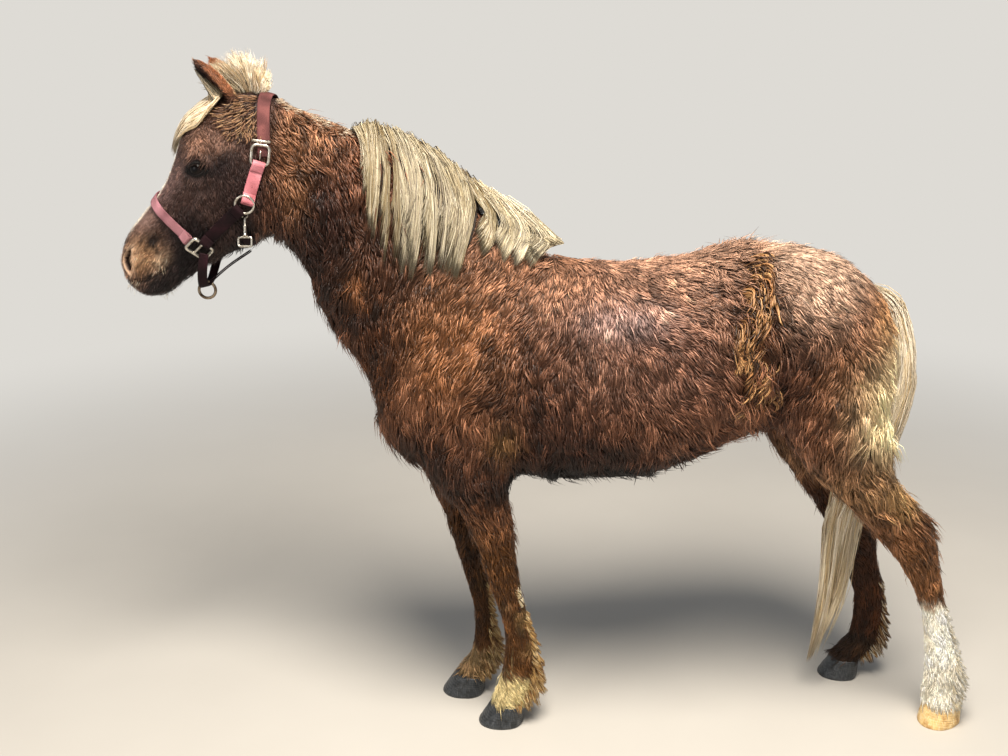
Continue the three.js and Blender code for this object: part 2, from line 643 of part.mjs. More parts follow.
// The snap that closes the throat strap: a turned bar that hangs from the near ring, and a square loop
const snapBar = new THREE.CylinderGeometry(SNAP_RADIUS, SNAP_RADIUS * 1.3, SNAP_LENGTH, 8).translate(0, SNAP_LENGTH / 2, 0);
const snapLoop = frame(SNAP_LOOP, 4).translate(0, WIRE - SNAP_LOOP[1] / 2, 0);
const snap = solid(snapBar).add(solid(snapLoop));
const snapTurn = new THREE.Matrix4().makeRotationX(SNAP_TILT + Math.PI / 2).setPosition(...SNAP_FOOT);
add("halter_throat_snap", snap.transform(snapTurn.elements).subtract(strapRoom).subtract(wholeWithGap), STEEL);

// Ears, mane, forelock, brush and tail stand on the body, a thin gap off it.
const earRoom = ear(NEAR, 2 * CUT).add(ear(OFF, 2 * CUT));
add("near_ear", ear(NEAR, 0).subtract(wholeWithGap), CHESTNUT);
add("off_ear", ear(OFF, 0).subtract(wholeWithGap), CHESTNUT);

// The mane's lower edge hangs in locks, whose tips and notches a loop sets between its front and rear locks.
const maneOutline = [...MANE_FRONT];
for (let i = 0; i < MANE_LOCKS; i++) {
  const t = (i + 0.5) / MANE_LOCKS;
  const fringe = MANE_FRINGE_FRONT.clone().lerp(MANE_FRINGE_REAR, t);
  maneOutline.push(at(fringe.x - 12, fringe.y - 12 - 8 * (i % 2)), at(fringe.x + 14, fringe.y + 20));
}
maneOutline.push(...MANE_REAR);
const maneBody = fleshOf(["neck", "trunk"], MANE_DEPTH);
add("mane", maneBody.intersect(block(maneOutline, -FAR_OUT, MANE_OVER_CREST)).subtract(wholeWithGap), FLAXEN);

const brush = (grow) => solid(loft(BRUSH.map(levelSection(OFF)), 10, grow));
const forelock = solid(loft(FORELOCK.map(forelockSection), 10));
add("poll_brush", brush(0).subtract(wholeWithGap).subtract(earRoom).subtract(strapRoom), FLAXEN);
add("forelock", forelock.subtract(wholeWithGap).subtract(earRoom).subtract(brush(CUT)), FLAXEN);
add("tail", solid(loft(TAIL.map(tailSection), 10)).subtract(wholeWithGap), FLAXEN);

// The origin is on the ground, under the middle of the whole pony.
const extent = new THREE.Box3().setFromObject(pony);
const middle = extent.getCenter(new THREE.Vector3());
pony.position.set(-middle.x, -middle.y, -extent.min.z);

export default pony;
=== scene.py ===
# %% [markdown]
# A Shetland pony as a still, life-size model.
# The CAD part gives the frame: every solid of the pony at its real size, in metres, with the floor at zero.
# This lesson dresses it. One skin is drawn over the flesh, and the coat is laid on it as thin closed locks,
# combed along guide lines. Then come the mane, the tail, the eyes, the hooves and the halter.
# The pony faces -X, and its near (left) side is towards -Y, where the camera stands.

# %% Frame
import math

import bmesh
import bpy
import numpy as np
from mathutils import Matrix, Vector
from mathutils.bvhtree import BVHTree
from mathutils.kdtree import KDTree


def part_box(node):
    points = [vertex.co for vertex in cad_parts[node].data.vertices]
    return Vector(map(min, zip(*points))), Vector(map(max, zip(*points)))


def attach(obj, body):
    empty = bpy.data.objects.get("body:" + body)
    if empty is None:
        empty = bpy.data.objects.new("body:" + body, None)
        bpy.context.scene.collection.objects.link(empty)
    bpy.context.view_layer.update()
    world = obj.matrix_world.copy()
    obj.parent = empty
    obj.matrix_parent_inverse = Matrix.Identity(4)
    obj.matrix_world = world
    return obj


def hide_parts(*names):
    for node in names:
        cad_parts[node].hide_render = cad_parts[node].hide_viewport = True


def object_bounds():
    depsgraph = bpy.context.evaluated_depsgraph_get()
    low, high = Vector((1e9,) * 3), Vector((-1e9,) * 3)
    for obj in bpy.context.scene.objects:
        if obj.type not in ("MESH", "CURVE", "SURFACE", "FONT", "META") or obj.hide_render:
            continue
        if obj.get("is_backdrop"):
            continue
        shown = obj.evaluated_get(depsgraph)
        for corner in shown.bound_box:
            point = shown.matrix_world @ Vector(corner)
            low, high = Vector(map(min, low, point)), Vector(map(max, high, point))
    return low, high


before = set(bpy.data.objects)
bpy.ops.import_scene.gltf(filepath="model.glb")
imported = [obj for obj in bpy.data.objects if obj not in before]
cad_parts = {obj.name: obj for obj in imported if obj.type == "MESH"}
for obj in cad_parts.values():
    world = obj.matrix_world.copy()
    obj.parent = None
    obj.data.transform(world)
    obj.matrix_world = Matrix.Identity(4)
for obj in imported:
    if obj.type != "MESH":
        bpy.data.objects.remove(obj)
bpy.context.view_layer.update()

MM = 0.001
UP = np.array([0.0, 0.0, 1.0])
SIDEWAYS = np.array([0.0, 1.0, 0.0])
NEAR = -1
OFF = 1
SIDES = {"near": NEAR, "off": OFF}
print("nodes in the frame:", len(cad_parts))

# %% [markdown]
# The camera stands where the photographer stood: 1.5 m above the floor and 2.455 m from the pony's middle
# plane, square to its side and tilted down. Its lens was worked out from the hooves on the level ground.
# The picture is cropped a little to the left, which a shift of the lens repeats.

# %% Camera
CAMERA_HEIGHT = 1.50
CAMERA_DISTANCE = 2.455
CAMERA_ALONG = -0.0421
CAMERA_TILT = math.radians(16.6)
FOCAL_PIXELS = 1214
PICTURE_WIDTH = 1008
PRINCIPAL_PIXEL = 540
FILM_WIDTH = 36

camera_data = bpy.data.cameras.new("side_camera")
camera_data.sensor_width = FILM_WIDTH
camera_data.lens = FOCAL_PIXELS / PICTURE_WIDTH * FILM_WIDTH
camera_data.shift_x = (PICTURE_WIDTH / 2 - PRINCIPAL_PIXEL) / PICTURE_WIDTH
camera = bpy.data.objects.new("side_camera", camera_data)
camera.location = (CAMERA_ALONG, -CAMERA_DISTANCE, CAMERA_HEIGHT)
camera.rotation_euler = (math.pi / 2 - CAMERA_TILT, 0, 0)
bpy.context.scene.collection.objects.link(camera)
bpy.context.scene.camera = camera
print("lens:", round(camera_data.lens, 2), "mm")

# %% [markdown]
# Materials are built from nodes. One function adds a node with its settings and its links, and one turns a
# colour as a painter writes it, such as #8a4a26, into the linear numbers that light is reckoned in.

# %% Material helpers
def linear(code):
    """Linear red, green, blue and alpha of an sRGB hex colour."""
    shares = [int(code[i : i + 2], 16) / 255 for i in (1, 3, 5)]
    return [c / 12.92 if c <= 0.04045 else ((c + 0.055) / 1.055) ** 2.4 for c in shares] + [1.0]


def material(name):
    """A new node material and its node tree, with nothing in it but the output."""
    made = bpy.data.materials.new(name)
    made.use_nodes = True
    tree = made.node_tree
    tree.nodes.clear()
    tree.nodes.new("ShaderNodeOutputMaterial")
    return made, tree


def add(tree, kind, settings=None, **inputs):
    """Adds a node. Settings are its properties, inputs its sockets: a value, or another node's output."""
    node = tree.nodes.new("ShaderNode" + kind)
    for key, value in (settings or {}).items():
        setattr(node, key, value)
    for key, value in inputs.items():
        place = int(key[1:]) if key[0] == "_" else key.replace("_", " ")
        socket = node.inputs[place]
        if isinstance(value, bpy.types.NodeSocket):
            tree.links.new(value, socket)
        else:
            socket.default_value = value
    return node


def show(tree, shader, relief=None):
    """Links a shader to the output, and a bump to the shader's normal."""
    if relief is not None:
        tree.links.new(relief.outputs[0], shader.inputs["Normal"])
    tree.links.new(shader.outputs[0], tree.nodes["Material Output"].inputs["Surface"])


# %% [markdown]
# The floor is a plain pale sheet. Far from the pony it glows a little, in the colour of the sky at the
# horizon, so that the two meet without a line, as in a photographer's cove. The sky is dim overhead,
# because the light comes from a lamp as large as a window, with a weak one in front: the back and mane are
# bright, and the belly is dark.

# %% Floor and light
FLOOR_REACH = 40
FLOOR_PALE = "#c6c2ba"
FLOOR_SPOT = "#bebab2"
HORIZON = "#dedbd5"
OVERHEAD = "#80848a"
COVE_START = 1.15
COVE_END = 3.8

floor_paint, tree = material("matt_painted_floor")
place = add(tree, "TexCoord")
mottle = add(tree, "TexNoise", _0=place.outputs["Object"], Scale=3.0, Detail=3.0)
tint = add(tree, "MixRGB", _0=mottle.outputs[0], _1=linear(FLOOR_PALE), _2=linear(FLOOR_SPOT))
matt = add(tree, "BsdfPrincipled", Base_Color=tint.outputs[0], Roughness=0.9)
glow = add(tree, "Emission", Color=linear(HORIZON))
away = add(tree, "VectorMath", {"operation": "LENGTH"}, _0=place.outputs["Object"])
softly = {"interpolation_type": "SMOOTHSTEP"}
cove = add(tree, "MapRange", softly, _0=away.outputs[1], _1=COVE_START, _2=COVE_END)
show(tree, add(tree, "MixShader", _0=cove.outputs[0], _1=matt.outputs[0], _2=glow.outputs[0]))
floor_mesh = bpy.data.meshes.new("floor")
edge = FLOOR_REACH
corners = [(-edge, -edge, 0), (edge, -edge, 0), (edge, edge, 0), (-edge, edge, 0)]
floor_mesh.from_pydata(corners, [], [(0, 1, 2, 3)])
floor_mesh.materials.append(floor_paint)
floor = bpy.data.objects.new("floor", floor_mesh)
bpy.context.scene.collection.objects.link(floor)
floor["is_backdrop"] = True

world = bpy.data.worlds.new("studio")
world.use_nodes = True
tree = world.node_tree
way = add(tree, "TexCoord")
height = add(tree, "SeparateXYZ", _0=way.outputs["Generated"])
rise = add(tree, "MapRange", _0=height.outputs[2], _1=0.02, _2=0.35)
sky = add(tree, "MixRGB", _0=rise.outputs[0], _1=linear(HORIZON), _2=linear(OVERHEAD))
tree.links.new(sky.outputs[0], tree.nodes["Background"].inputs["Color"])
bpy.context.scene.world = world
bpy.context.scene.view_settings.view_transform = "Standard"

# place, aim, width in metres, power in watts, colour
LAMPS = {
    "overhead": ((0.2, -1.5, 3.5), (0.0, 0.0, 0.75), 1.8, 250, "#fff6ea"),
    "front_fill": ((-2.6, -2.6, 1.9), (-0.2, 0.0, 0.7), 1.8, 22, "#fff9f2"),
}
for name, (place, aim, size, watts, tone) in LAMPS.items():
    data = bpy.data.lights.new(name, "AREA")
    data.shape = "DISK"
    data.size = size
    data.energy = watts
    data.color = linear(tone)[:3]
    lamp = bpy.data.objects.new(name, data)
    lamp.location = place
    lamp.rotation_euler = (Vector(aim) - Vector(place)).to_track_quat("-Z", "Y").to_euler()
    bpy.context.scene.collection.objects.link(lamp)
print("floor, world and", len(LAMPS), "lamps")

# %% [markdown]
# Everything soft on the pony is worked out on arrays of points, so a few small tools come first: reading a
# solid of the frame as points and triangles, building a mesh from arrays, and smooth noise in space.
# The noise gives each lattice corner a repeatable number and blends between the corners.

# %% Array tools
def arrays_of(mesh):
    """The points and triangles of a mesh."""
    mesh.calc_loop_triangles()
    points = np.empty(len(mesh.vertices) * 3)
    mesh.vertices.foreach_get("co", points)
    triangles = np.empty(len(mesh.loop_triangles) * 3, np.int32)
    mesh.loop_triangles.foreach_get("vertices", triangles)
    return points.reshape(-1, 3), triangles.reshape(-1, 3)


def welded(points, triangles):
    """Joins the points that share a place, which the frame's file keeps apart along each edge."""
    places, where = np.unique(np.round(points, 6), axis=0, return_inverse=True)
    return places, where.ravel()[triangles]


def solid_of(*names):
    """The welded points and triangles of some of the frame's solids, as one set."""
    points, triangles, count = [], [], 0
    for name in names:
        place, corners = welded(*arrays_of(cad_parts[name].data))
        points.append(place)
        triangles.append(corners + count)
        count += len(place)
    return np.concatenate(points), np.concatenate(triangles)


def ray_tree(points, triangles):
    """A tree that finds where a ray meets some triangles."""
    return BVHTree.FromPolygons(points.tolist(), triangles.tolist())


def corner_normals(points, triangles):
    """The unit normal at each point, from the triangles round it."""
    a, b, c = (points[triangles[:, i]] for i in range(3))
    facing = np.cross(b - a, c - a)
    normals = np.zeros_like(points)
    for i in range(3):
        for axis in range(3):
            normals[:, axis] += np.bincount(triangles[:, i], facing[:, axis], len(points))
    return unit(normals)


def unit(vectors):
    """The vectors at length 1."""
    return vectors / np.maximum(np.linalg.norm(vectors, axis=-1, keepdims=True), 1e-12)


def build(name, points, faces):
    """A smooth object from points and one or more arrays of faces, each row the corners of a face."""
    mesh = bpy.data.meshes.new(name)
    faces = faces if isinstance(faces, list) else [faces]
    corners = np.concatenate([f.ravel() for f in faces]).astype(np.int32)
    sizes = np.concatenate([np.full(len(f), f.shape[1]) for f in faces])
    mesh.vertices.add(len(points))
    mesh.vertices.foreach_set("co", np.asarray(points, np.float32).ravel())
    mesh.loops.add(len(corners))
    mesh.loops.foreach_set("vertex_index", corners)
    mesh.polygons.add(len(sizes))
    mesh.polygons.foreach_set("loop_start", np.concatenate([[0], np.cumsum(sizes)[:-1]]).astype(np.int32))
    mesh.update(calc_edges=True)
    mesh.polygons.foreach_set("use_smooth", np.full(len(sizes), True))
    made = bpy.data.objects.new(name, mesh)
    bpy.context.scene.collection.objects.link(made)
    return made


def dressed(piece, paint_of, slot, *nodes):
    """Gives a piece its material, and lets it ride on the body in place of nodes of the frame. Its slot is
    not used.
    """
    piece.data.materials.append(paint_of)
    for node in nodes:
        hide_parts(node)
    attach(piece, "root")


def between(value, low, high):
    """0 below low, 1 above high, and a smooth step in between."""
    t = np.clip((value - low) / (high - low), 0, 1)
    return t * t * (3 - 2 * t)


def bump(value, middle, reach):
    """1 at the middle, with a soft fall to 0 on both sides."""
    return np.exp(-(((value - middle) / reach) ** 2))


def mound(places, middle, reach):
    """1 at the middle, with a soft fall to 0 all round. Each of the three has one entry for each way."""
    return np.exp(-sum(((p - m) / r) ** 2 for p, m, r in zip(places, middle, reach)))


def noise(points, size, seed):
    """Smooth noise from -1 to 1 at points in space. Size is the width of its lumps."""
    place = points / size + seed * 17.31
    cell = np.floor(place)
    share = place - cell
    share = share * share * (3 - 2 * share)
    total = 0
    for dx in (0, 1):
        for dy in (0, 1):
            for dz in (0, 1):
                x, y, z = (cell + (dx, dy, dz)).T
                chance = np.sin(x * 127.1 + y * 311.7 + z * 74.7) * 43758.5453
                weight = np.abs(1 - dx - share[:, 0]) * np.abs(1 - dy - share[:, 1])
                weight = weight * np.abs(1 - dz - share[:, 2])
                total = total + weight * (chance - np.floor(chance))
    return total * 2 - 1


# %% [markdown]
# The head has a frame of its own, which makes its landmarks easy to place: u runs from the poll to the
# lips, v stands off towards the face, and the distance from the middle is the third. The eye, nostril and
# mouth are given in these, in millimetres.

# %% Head frame
POLL = np.array([-0.5921, 0.0, 1.335])
ALONG = np.array([-0.62857, 0.0, -0.77775])
FRONT = np.array([-0.77775, 0.0, 0.62857])
EYE = (165, 14)
NOSTRIL = ((393, 36), (432, 12))
MOUTH = ((378, -46), (402, -36), (423, -27), (440, -10), (449, 6), (462, 14))
EAR_ROOT = np.array([-0.6301, 0.047, 1.330])
EAR_TIP = np.array([-0.708, 0.060, 1.425])


def in_head(points):
    """u, v in millimetres and the distance from the middle in millimetres."""
    away = points - POLL
    return away @ ALONG / MM, away @ FRONT / MM, np.abs(points[:, 1]) / MM


def from_head(u, v, s):
    """The places that are u, v and s millimetres from the poll, in arrays of any shape."""
    return POLL + (u[..., None] * ALONG + v[..., None] * FRONT + s[..., None] * SIDEWAYS) * MM


def head_share(points):
    """1 on the head and 0 behind the throat."""
    x, z = points[:, 0], points[:, 2]
    behind = x + 0.575 + (1.25 - z) * 0.2
    return between(-behind, -0.02, 0.02) * between(z, 0.90, 0.95)


def in_ear(points):
    """How far along an ear, from 0 to 1, and how far towards its rear edge and off its axis, in metres."""
    away = points * (1, 0, 1) + np.abs(points) * (0, 1, 0) - EAR_ROOT
    axis = EAR_TIP - EAR_ROOT
    t = away @ axis / (axis @ axis)
    rear = unit(np.array([axis[2], 0.0, -axis[0]]))
    return t, away @ rear, np.linalg.norm(away - np.clip(t, 0, 1)[:, None] * axis, axis=1)


def ear_share(points):
    """1 on the ears and 0 on the skull round their roots."""
    t, _, off = in_ear(points)
    return between(t, 0.05, 0.3) * between(-off, -0.045, -0.04)


# %% [markdown]
# The flesh comes as separate solids with thin cuts between them. A skin has no seam, so they are grown by
# less than half a millimetre until they touch, and a voxel remesh draws one surface round them all. The eye
# sockets are filled for now, and the lids are shaped later.
# The remesh keeps the flat facets of the solids, so each point is then pulled towards its neighbours many
# times: strongly on the round trunk, and hardly at all on the ears and legs, which would wither.

# %% One surface over the flesh
FLESH = ["head", "neck", "trunk", "near_ear", "off_ear"]
for side in SIDES:
    FLESH += [side + "_forearm", side + "_fore_cannon", side + "_thigh", side + "_hind_cannon"]
GROW = 0.4 * MM
VOXEL = 3 * MM
ROUNDS = 120

points, triangles = solid_of(*FLESH)
points = points + GROW * corner_normals(points, triangles)
flesh = build("flesh", points, triangles)
for side in SIDES:
    low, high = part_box(side + "_eye")
    ball = bmesh.new()
    bmesh.ops.create_icosphere(ball, subdivisions=3, radius=(high - low).length / 2 / math.sqrt(3) + 1.5 * MM)
    bmesh.ops.translate(ball, verts=ball.verts, vec=(low + high) / 2)
    ball.from_mesh(flesh.data)
    ball.to_mesh(flesh.data)
    ball.free()
remesh = flesh.modifiers.new("one_surface", "REMESH")
remesh.mode = "VOXEL"
remesh.voxel_size = VOXEL
remesh.adaptivity = 0


def evaluated(piece):
    """The piece's mesh with its modifiers applied."""
    bpy.context.view_layer.update()
    return bpy.data.meshes.new_from_object(piece.evaluated_get(bpy.context.evaluated_depsgraph_get()))


def edges_of(mesh):
    """The two points of each edge of a mesh."""
    pairs = np.empty(len(mesh.edges) * 2, np.int32)
    mesh.edges.foreach_get("vertices", pairs)
    return pairs.reshape(-1, 2)


def relaxed(points, pairs, strength, rounds):
    """Moves each point towards the middle of its neighbours, again and again."""
    ends = np.concatenate([pairs, pairs[:, ::-1]])
    count = len(points)
    neighbours = np.bincount(ends[:, 0], minlength=count)
    for _ in range(rounds):
        pulled = [np.bincount(ends[:, 0], points[ends[:, 1], axis], count) for axis in range(3)]
        points = points + strength[:, None] * (np.stack(pulled, 1) / neighbours[:, None] - points)
    return points


def softness(points):
    """How far the smoothing goes: 0.75 on the trunk and neck, less on the head and legs, least on ears."""
    z = points[:, 2]
    leg = between(-z, -0.60, -0.48)
    head = head_share(points)
    strength = 0.75 + leg * (0.13 - 0.75)
    strength = strength + head * (0.2 - strength)
    ear = ear_share(points)
    return strength + ear * (0.02 - strength)


wrapped = evaluated(flesh)
points, _ = arrays_of(wrapped)
points = relaxed(points, edges_of(wrapped), softness(points), ROUNDS)
wrapped.vertices.foreach_set("co", points.astype(np.float32).ravel())
wrapped.update()
bpy.data.objects.remove(flesh)
print("one surface:", len(wrapped.vertices), "points")


# %% [markdown]
# The surface so far is the outside of the coat, as the solids give it. The skin lies under it, by the depth
# of the hair: deepest on the trunk and neck, thin on the legs, and hardly any on the muzzle and ears.

# %% Depth of the coat
def from_eye(u, v):
    """Distance from the middle of the eye in the side view of the head."""
    return np.hypot(u - EYE[0], v - EYE[1])


def near_eye_share(points):
    """1 on the lids and 0 a few centimetres off them."""
    u, v, s = in_head(points)
    return between(-from_eye(u, v), -42, -26) * between(s, 40, 55) * head_share(points)


def coat_depth(points):
    """Depth of the hair over the skin, in metres."""
    u, v, _ = in_head(points)
    z = points[:, 2]
    depth = np.full(len(points), 10.0)
    depth += between(-z, -0.62, -0.45) * (7.0 - 10.0)
    depth += between(-z, -0.36, -0.26) * (5.0 - 7.0)
    on_head = 5.5 - 2.0 * between(v, 20, 50) - 3.0 * between(u, 280, 390)
    on_head = np.maximum(on_head, 1.2)
    depth += head_share(points) * (on_head - depth)
    depth += near_eye_share(points) * (1.0 - depth)
    depth += ear_share(points) * (1.2 - depth)
    return depth * MM


# %% [markdown]
# The body has forms that the solids leave out: the shoulder and the muscle above the elbow stand out, and
# there are hollows behind the elbow, along the lower neck, and between the flank and the thigh. Each is a
# soft mound in the side view, lifted or sunk along the skin's own normal, so the outline stays as it is.

# %% Muscles and hollows of the body
# place from the side (x, z), reach along x and z, turn in degrees, height in millimetres
BODY_FORMS = [
    ((-0.30, 0.83), (0.07, 0.09), -20, 6),
    ((-0.15, 0.77), (0.06, 0.08), -20, 7),
    ((-0.19, 0.95), (0.05, 0.14), -25, 4),
    ((-0.055, 0.80), (0.045, 0.16), -8, -12),
    ((-0.24, 0.68), (0.04, 0.04), 0, -6),
    ((-0.47, 1.03), (0.03, 0.14), -28, -7),
    ((-0.40, 1.15), (0.07, 0.07), 0, 4),
    ((0.415, 0.80), (0.036, 0.12), 12, -14),
    ((0.36, 0.73), (0.05, 0.04), -30, -6),
    ((0.50, 0.70), (0.05, 0.08), 20, 6),
    ((0.42, 1.00), (0.04, 0.03), 0, 4),
    ((0.34, 0.98), (0.05, 0.05), 0, -6),
    ((0.53, 0.86), (0.07, 0.09), 0, 4),
    ((0.16, 0.86), (0.14, 0.10), 0, 3),
    ((-0.16, 0.58), (0.018, 0.07), -8, -4),
    ((0.60, 0.56), (0.02, 0.06), 25, -4),
]


def body_relief(points, normals):
    """Height of the body's forms over the plain skin, in metres."""
    x, z = points[:, 0], points[:, 2]
    height = np.zeros(len(points))
    for (at_x, at_z), (reach_x, reach_z), turn, lift in BODY_FORMS:
        c, s = math.cos(math.radians(turn)), math.sin(math.radians(turn))
        across = ((x - at_x) * c + (z - at_z) * s) / reach_x
        up = ((z - at_z) * c - (x - at_x) * s) / reach_z
        height += lift * np.exp(-(across**2) - up**2)
    return height * MM * between(np.abs(normals[:, 1]), 0.35, 0.8)


# %% [markdown]
# The face gets the most care. Under the brow the lids wrap the eyeball, a ridge of bone runs from below the
# eye towards the lips, the cheek is a round plate of muscle, the nostril is a deep comma with a thick rim,
# and the mouth is a crease between two lips. Soft mounds in the head's frame make the broad forms.

# %% Forms of the face
# place (u, v, distance from the middle), reach in each, height, all in millimetres
FACE_FORMS = [
    ((138, 36, 66), (24, 12, 26), 4.5),
    ((104, 44, 60), (16, 14, 20), -3.5),
    ((196, 26, 66), (16, 10, 22), -3.0),
    ((182, -14, 84), (22, 9, 22), -2.0),
    ((112, -95, 80), (62, 55, 40), 3.5),
    ((205, -88, 66), (18, 40, 30), -3.5),
    ((250, 6, 54), (44, 12, 22), -2.5),
    ((338, 4, 50), (17, 11, 18), -6.5),
    ((340, -58, 50), (34, 20, 25), -2.5),
    ((408, 30, 50), (30, 16, 16), 4.0),
    ((452, 6, 26), (16, 18, 26), 2.0),
    ((402, -10, 52), (16, 12, 16), 2.0),
    ((428, -66, 24), (20, 14, 26), 3.5),
    ((392, -84, 22), (12, 14, 30), -4.0),
    ((60, -120, 60), (26, 26, 30), 2.5),
    ((20, -70, 60), (22, 40, 30), -3.0),
]
FACIAL_CREST = ((212, -22), (318, -26))
# millimetres from the head's middle to the eye's, and from the eye's middle to the lids and to the socket
EYE_ASIDE = 73
LID_RADIUS = 20.4
UNDER_EYE = 14.5
OPENING_LONG = 18.5
OPENING_UP = 10.5
OPENING_DOWN = 8.6
EYE_TURN = math.atan2(0.76, 0.65)


def from_line(u, v, line):
    """Distance from a line of points in the side view of the head, and how far along it from 0 to 1."""
    nearest = np.full(len(u), 1e9)
    place = np.zeros(len(u))
    steps = len(line) - 1
    for i in range(steps):
        (a, b), (c, d) = line[i], line[i + 1]
        t = np.clip(((u - a) * (c - a) + (v - b) * (d - b)) / ((c - a) ** 2 + (d - b) ** 2), 0, 1)
        far = np.hypot(u - a - t * (c - a), v - b - t * (d - b))
        place = np.where(far < nearest, (i + t) / steps, place)
        nearest = np.minimum(far, nearest)
    return nearest, place


def in_nostril(u, v):
    """0 at the middle of the nostril and 1 at its rim."""
    (a, b), (c, d) = NOSTRIL
    length = math.hypot(c - a, d - b)
    along = ((u - (a + c) / 2) * (c - a) + (v - (b + d) / 2) * (d - b)) / length
    across = ((v - (b + d) / 2) * (c - a) - (u - (a + c) / 2) * (d - b)) / length
    width = 9.4 - 2.6 * between(-along, -6, 20)
    return np.hypot(along / (length / 2 + 1), (across + 0.010 * along**2 - 1.5) / width)


def in_eye(u, v):
    """Place round the eye: towards the front corner, upwards, and 0 at the middle to 1 at the lids' edge."""
    along = (u - EYE[0]) * math.cos(EYE_TURN) + (v - EYE[1]) * math.sin(EYE_TURN)
    up = (v - EYE[1]) * math.cos(EYE_TURN) - (u - EYE[0]) * math.sin(EYE_TURN)
    up = up + 0.10 * along
    arch = np.sqrt(np.maximum(1 - (along / OPENING_LONG) ** 2, 0.003))
    edge = np.where(up > 0, up / (OPENING_UP * arch**1.1), -up / (OPENING_DOWN * arch**1.4))
    return along, up, np.maximum(edge, np.abs(along) / OPENING_LONG)


def face_relief(points):
    """Height of the face's forms over the plain skin, in metres."""
    u, v, s = in_head(points)
    height = np.zeros(len(points))
    for middle, reach, lift in FACE_FORMS:
        height += lift * mound((u, v, s), middle, reach)
    far, t = from_line(u, v, FACIAL_CREST)
    height += 3.2 * bump(far, 0, 7) * (1 - 0.6 * t) * between(s, 30, 50)
    far, _ = from_line(u, v, MOUTH)
    lip = between(u, 366, 386) * (1 - 0.85 * between(u, 436, 452))
    height += lip * (1.2 * bump(far, 7, 5) - 3.6 * bump(far, 0, 1.9))
    hole = in_nostril(u, v)
    sideways = between(s, 22, 30) * between(u, 370, 382)
    height += sideways * 2.6 * bump(hole, 1.3, 0.32)
    height -= sideways * 15 * between(-hole, -1.02, -0.72)
    return height * MM * head_share(points)


def with_lids(points):
    """Wraps the skin round the eyeballs as lids, and sinks it behind them where the eye is open."""
    u, v, s = in_head(points)
    off = np.stack([u - EYE[0], v - EYE[1], s - EYE_ASIDE], 1)
    far = np.linalg.norm(off, axis=1)
    aside = from_eye(u, v)
    _, up, edge = in_eye(u, v)
    on = near_eye_share(points) * between(-aside, -31, -17) * (s > 55)
    fold = 1.6 * bump(edge, 1.5, 0.4) * (up > -2) - 2.6 * bump(edge, 2.15, 0.26) * (up > 0)
    fold -= 0.9 * bump(edge, 1.9, 0.2) * (up <= 0)
    wanted = far + on * (LID_RADIUS + fold - far)
    open_eye = between(-edge, -1.06, -0.94) * (s > 55) * (aside < 25)
    wanted = wanted + open_eye * (UNDER_EYE - wanted)
    moved = off * (wanted / np.maximum(far, 1e-6) - 1)[:, None] * MM
    side = np.sign(points[:, 1])[:, None]
    shift = moved[:, :1] * ALONG + moved[:, 1:2] * FRONT + moved[:, 2:] * side * SIDEWAYS
    return points + np.where((aside < 45)[:, None] & (s > 50)[:, None], shift, 0)


# %% [markdown]
# The skin needs small faces where the face is fine, and large ones under the long coat. So the mesh is
# split twice near the eyes and once on the muzzle, and thinned on the body, before it is drawn in under the
# coat.

# %% The skin
SHARE_KEPT = 0.12


def refined(mesh, chosen):
    """The mesh with each face of the chosen points split into four."""
    fine = bmesh.new()
    fine.from_mesh(mesh)
    picked = [e for e in fine.edges if chosen[e.verts[0].index] and chosen[e.verts[1].index]]
    bmesh.ops.subdivide_edges(fine, edges=picked, cuts=1, use_grid_fill=True)
    fine.to_mesh(mesh)
    fine.free()


def thinned(mesh, weight, share):
    """The mesh with fewer faces where the weight is high."""
    piece = bpy.data.objects.new("thinned", mesh)
    bpy.context.scene.collection.objects.link(piece)
    group = piece.vertex_groups.new(name="thin")
    for level in range(1, 5):
        picked = np.nonzero(np.round(weight * 4) == level)[0]
        group.add(picked.tolist(), level / 4, "REPLACE")
    fewer = piece.modifiers.new("fewer", "DECIMATE")
    fewer.ratio = share
    fewer.vertex_group = "thin"
    made = evaluated(piece)
    bpy.data.objects.remove(piece)
    return made


def skin_under(points, normals):
    """Draws the coat's surface in to the skin, and gives it its forms."""
    depth = coat_depth(points)
    height = body_relief(points, normals) * (1 - head_share(points)) + face_relief(points)
    return with_lids(points + normals * (height - depth)[:, None])


points, triangles = arrays_of(wrapped)
envelope = ray_tree(points, triangles)
u, v, s = in_head(points)
fine_face = head_share(points) * np.maximum(between(u, 250, 300), between(-from_eye(u, v), -75, -50))
weight = (1 - 0.45 * head_share(points) - 0.55 * fine_face) * (1 - ear_share(points))
skin_mesh = thinned(wrapped, weight, SHARE_KEPT)
print("thinned:", len(skin_mesh.vertices), "points", len(skin_mesh.polygons), "faces")
for split in (1, 2):
    points, _ = arrays_of(skin_mesh)
    u, v, s = in_head(points)
    close = (from_eye(u, v) < 40) & (s > 48)
    muzzle = (u > 366) & (split == 1)
    refined(skin_mesh, (close | muzzle) & (head_share(points) > 0.5))
points, triangles = arrays_of(skin_mesh)
face = head_share(points) * (1 - ear_share(points))
points = relaxed(points, edges_of(skin_mesh), 0.4 * face, 3)
normals = corner_normals(points, triangles)
points = skin_under(points, normals)
skin = build("skin", points, triangles)
bpy.data.meshes.remove(skin_mesh)
print("skin:", len(points), "points", len(triangles), "triangles")


# %% [markdown]
# The coat's markings belong to the hair and to the skin under it, so one function gives the colour at any
# place of the body, and both ask it. It starts from chestnut and lays soft patches over it: paler along the
# back, where the hair is faded by the sun and a painted highlight lies over it, a painted sheen on the upper
# ribs, golden behind the thigh, dark and damp under the neck, and near black under the belly, which is
# painted shade over damp hair. Painted shade also darkens the hollows round the elbow and between the flank
# and the thigh, and the jaw, chin and lips, and painted light pales the front of the face. The legs each have
# their own colours, with a white sock on the near hind leg, and a white blaze runs down the face.

# %% Markings
CHESTNUT = "#7a4f38"
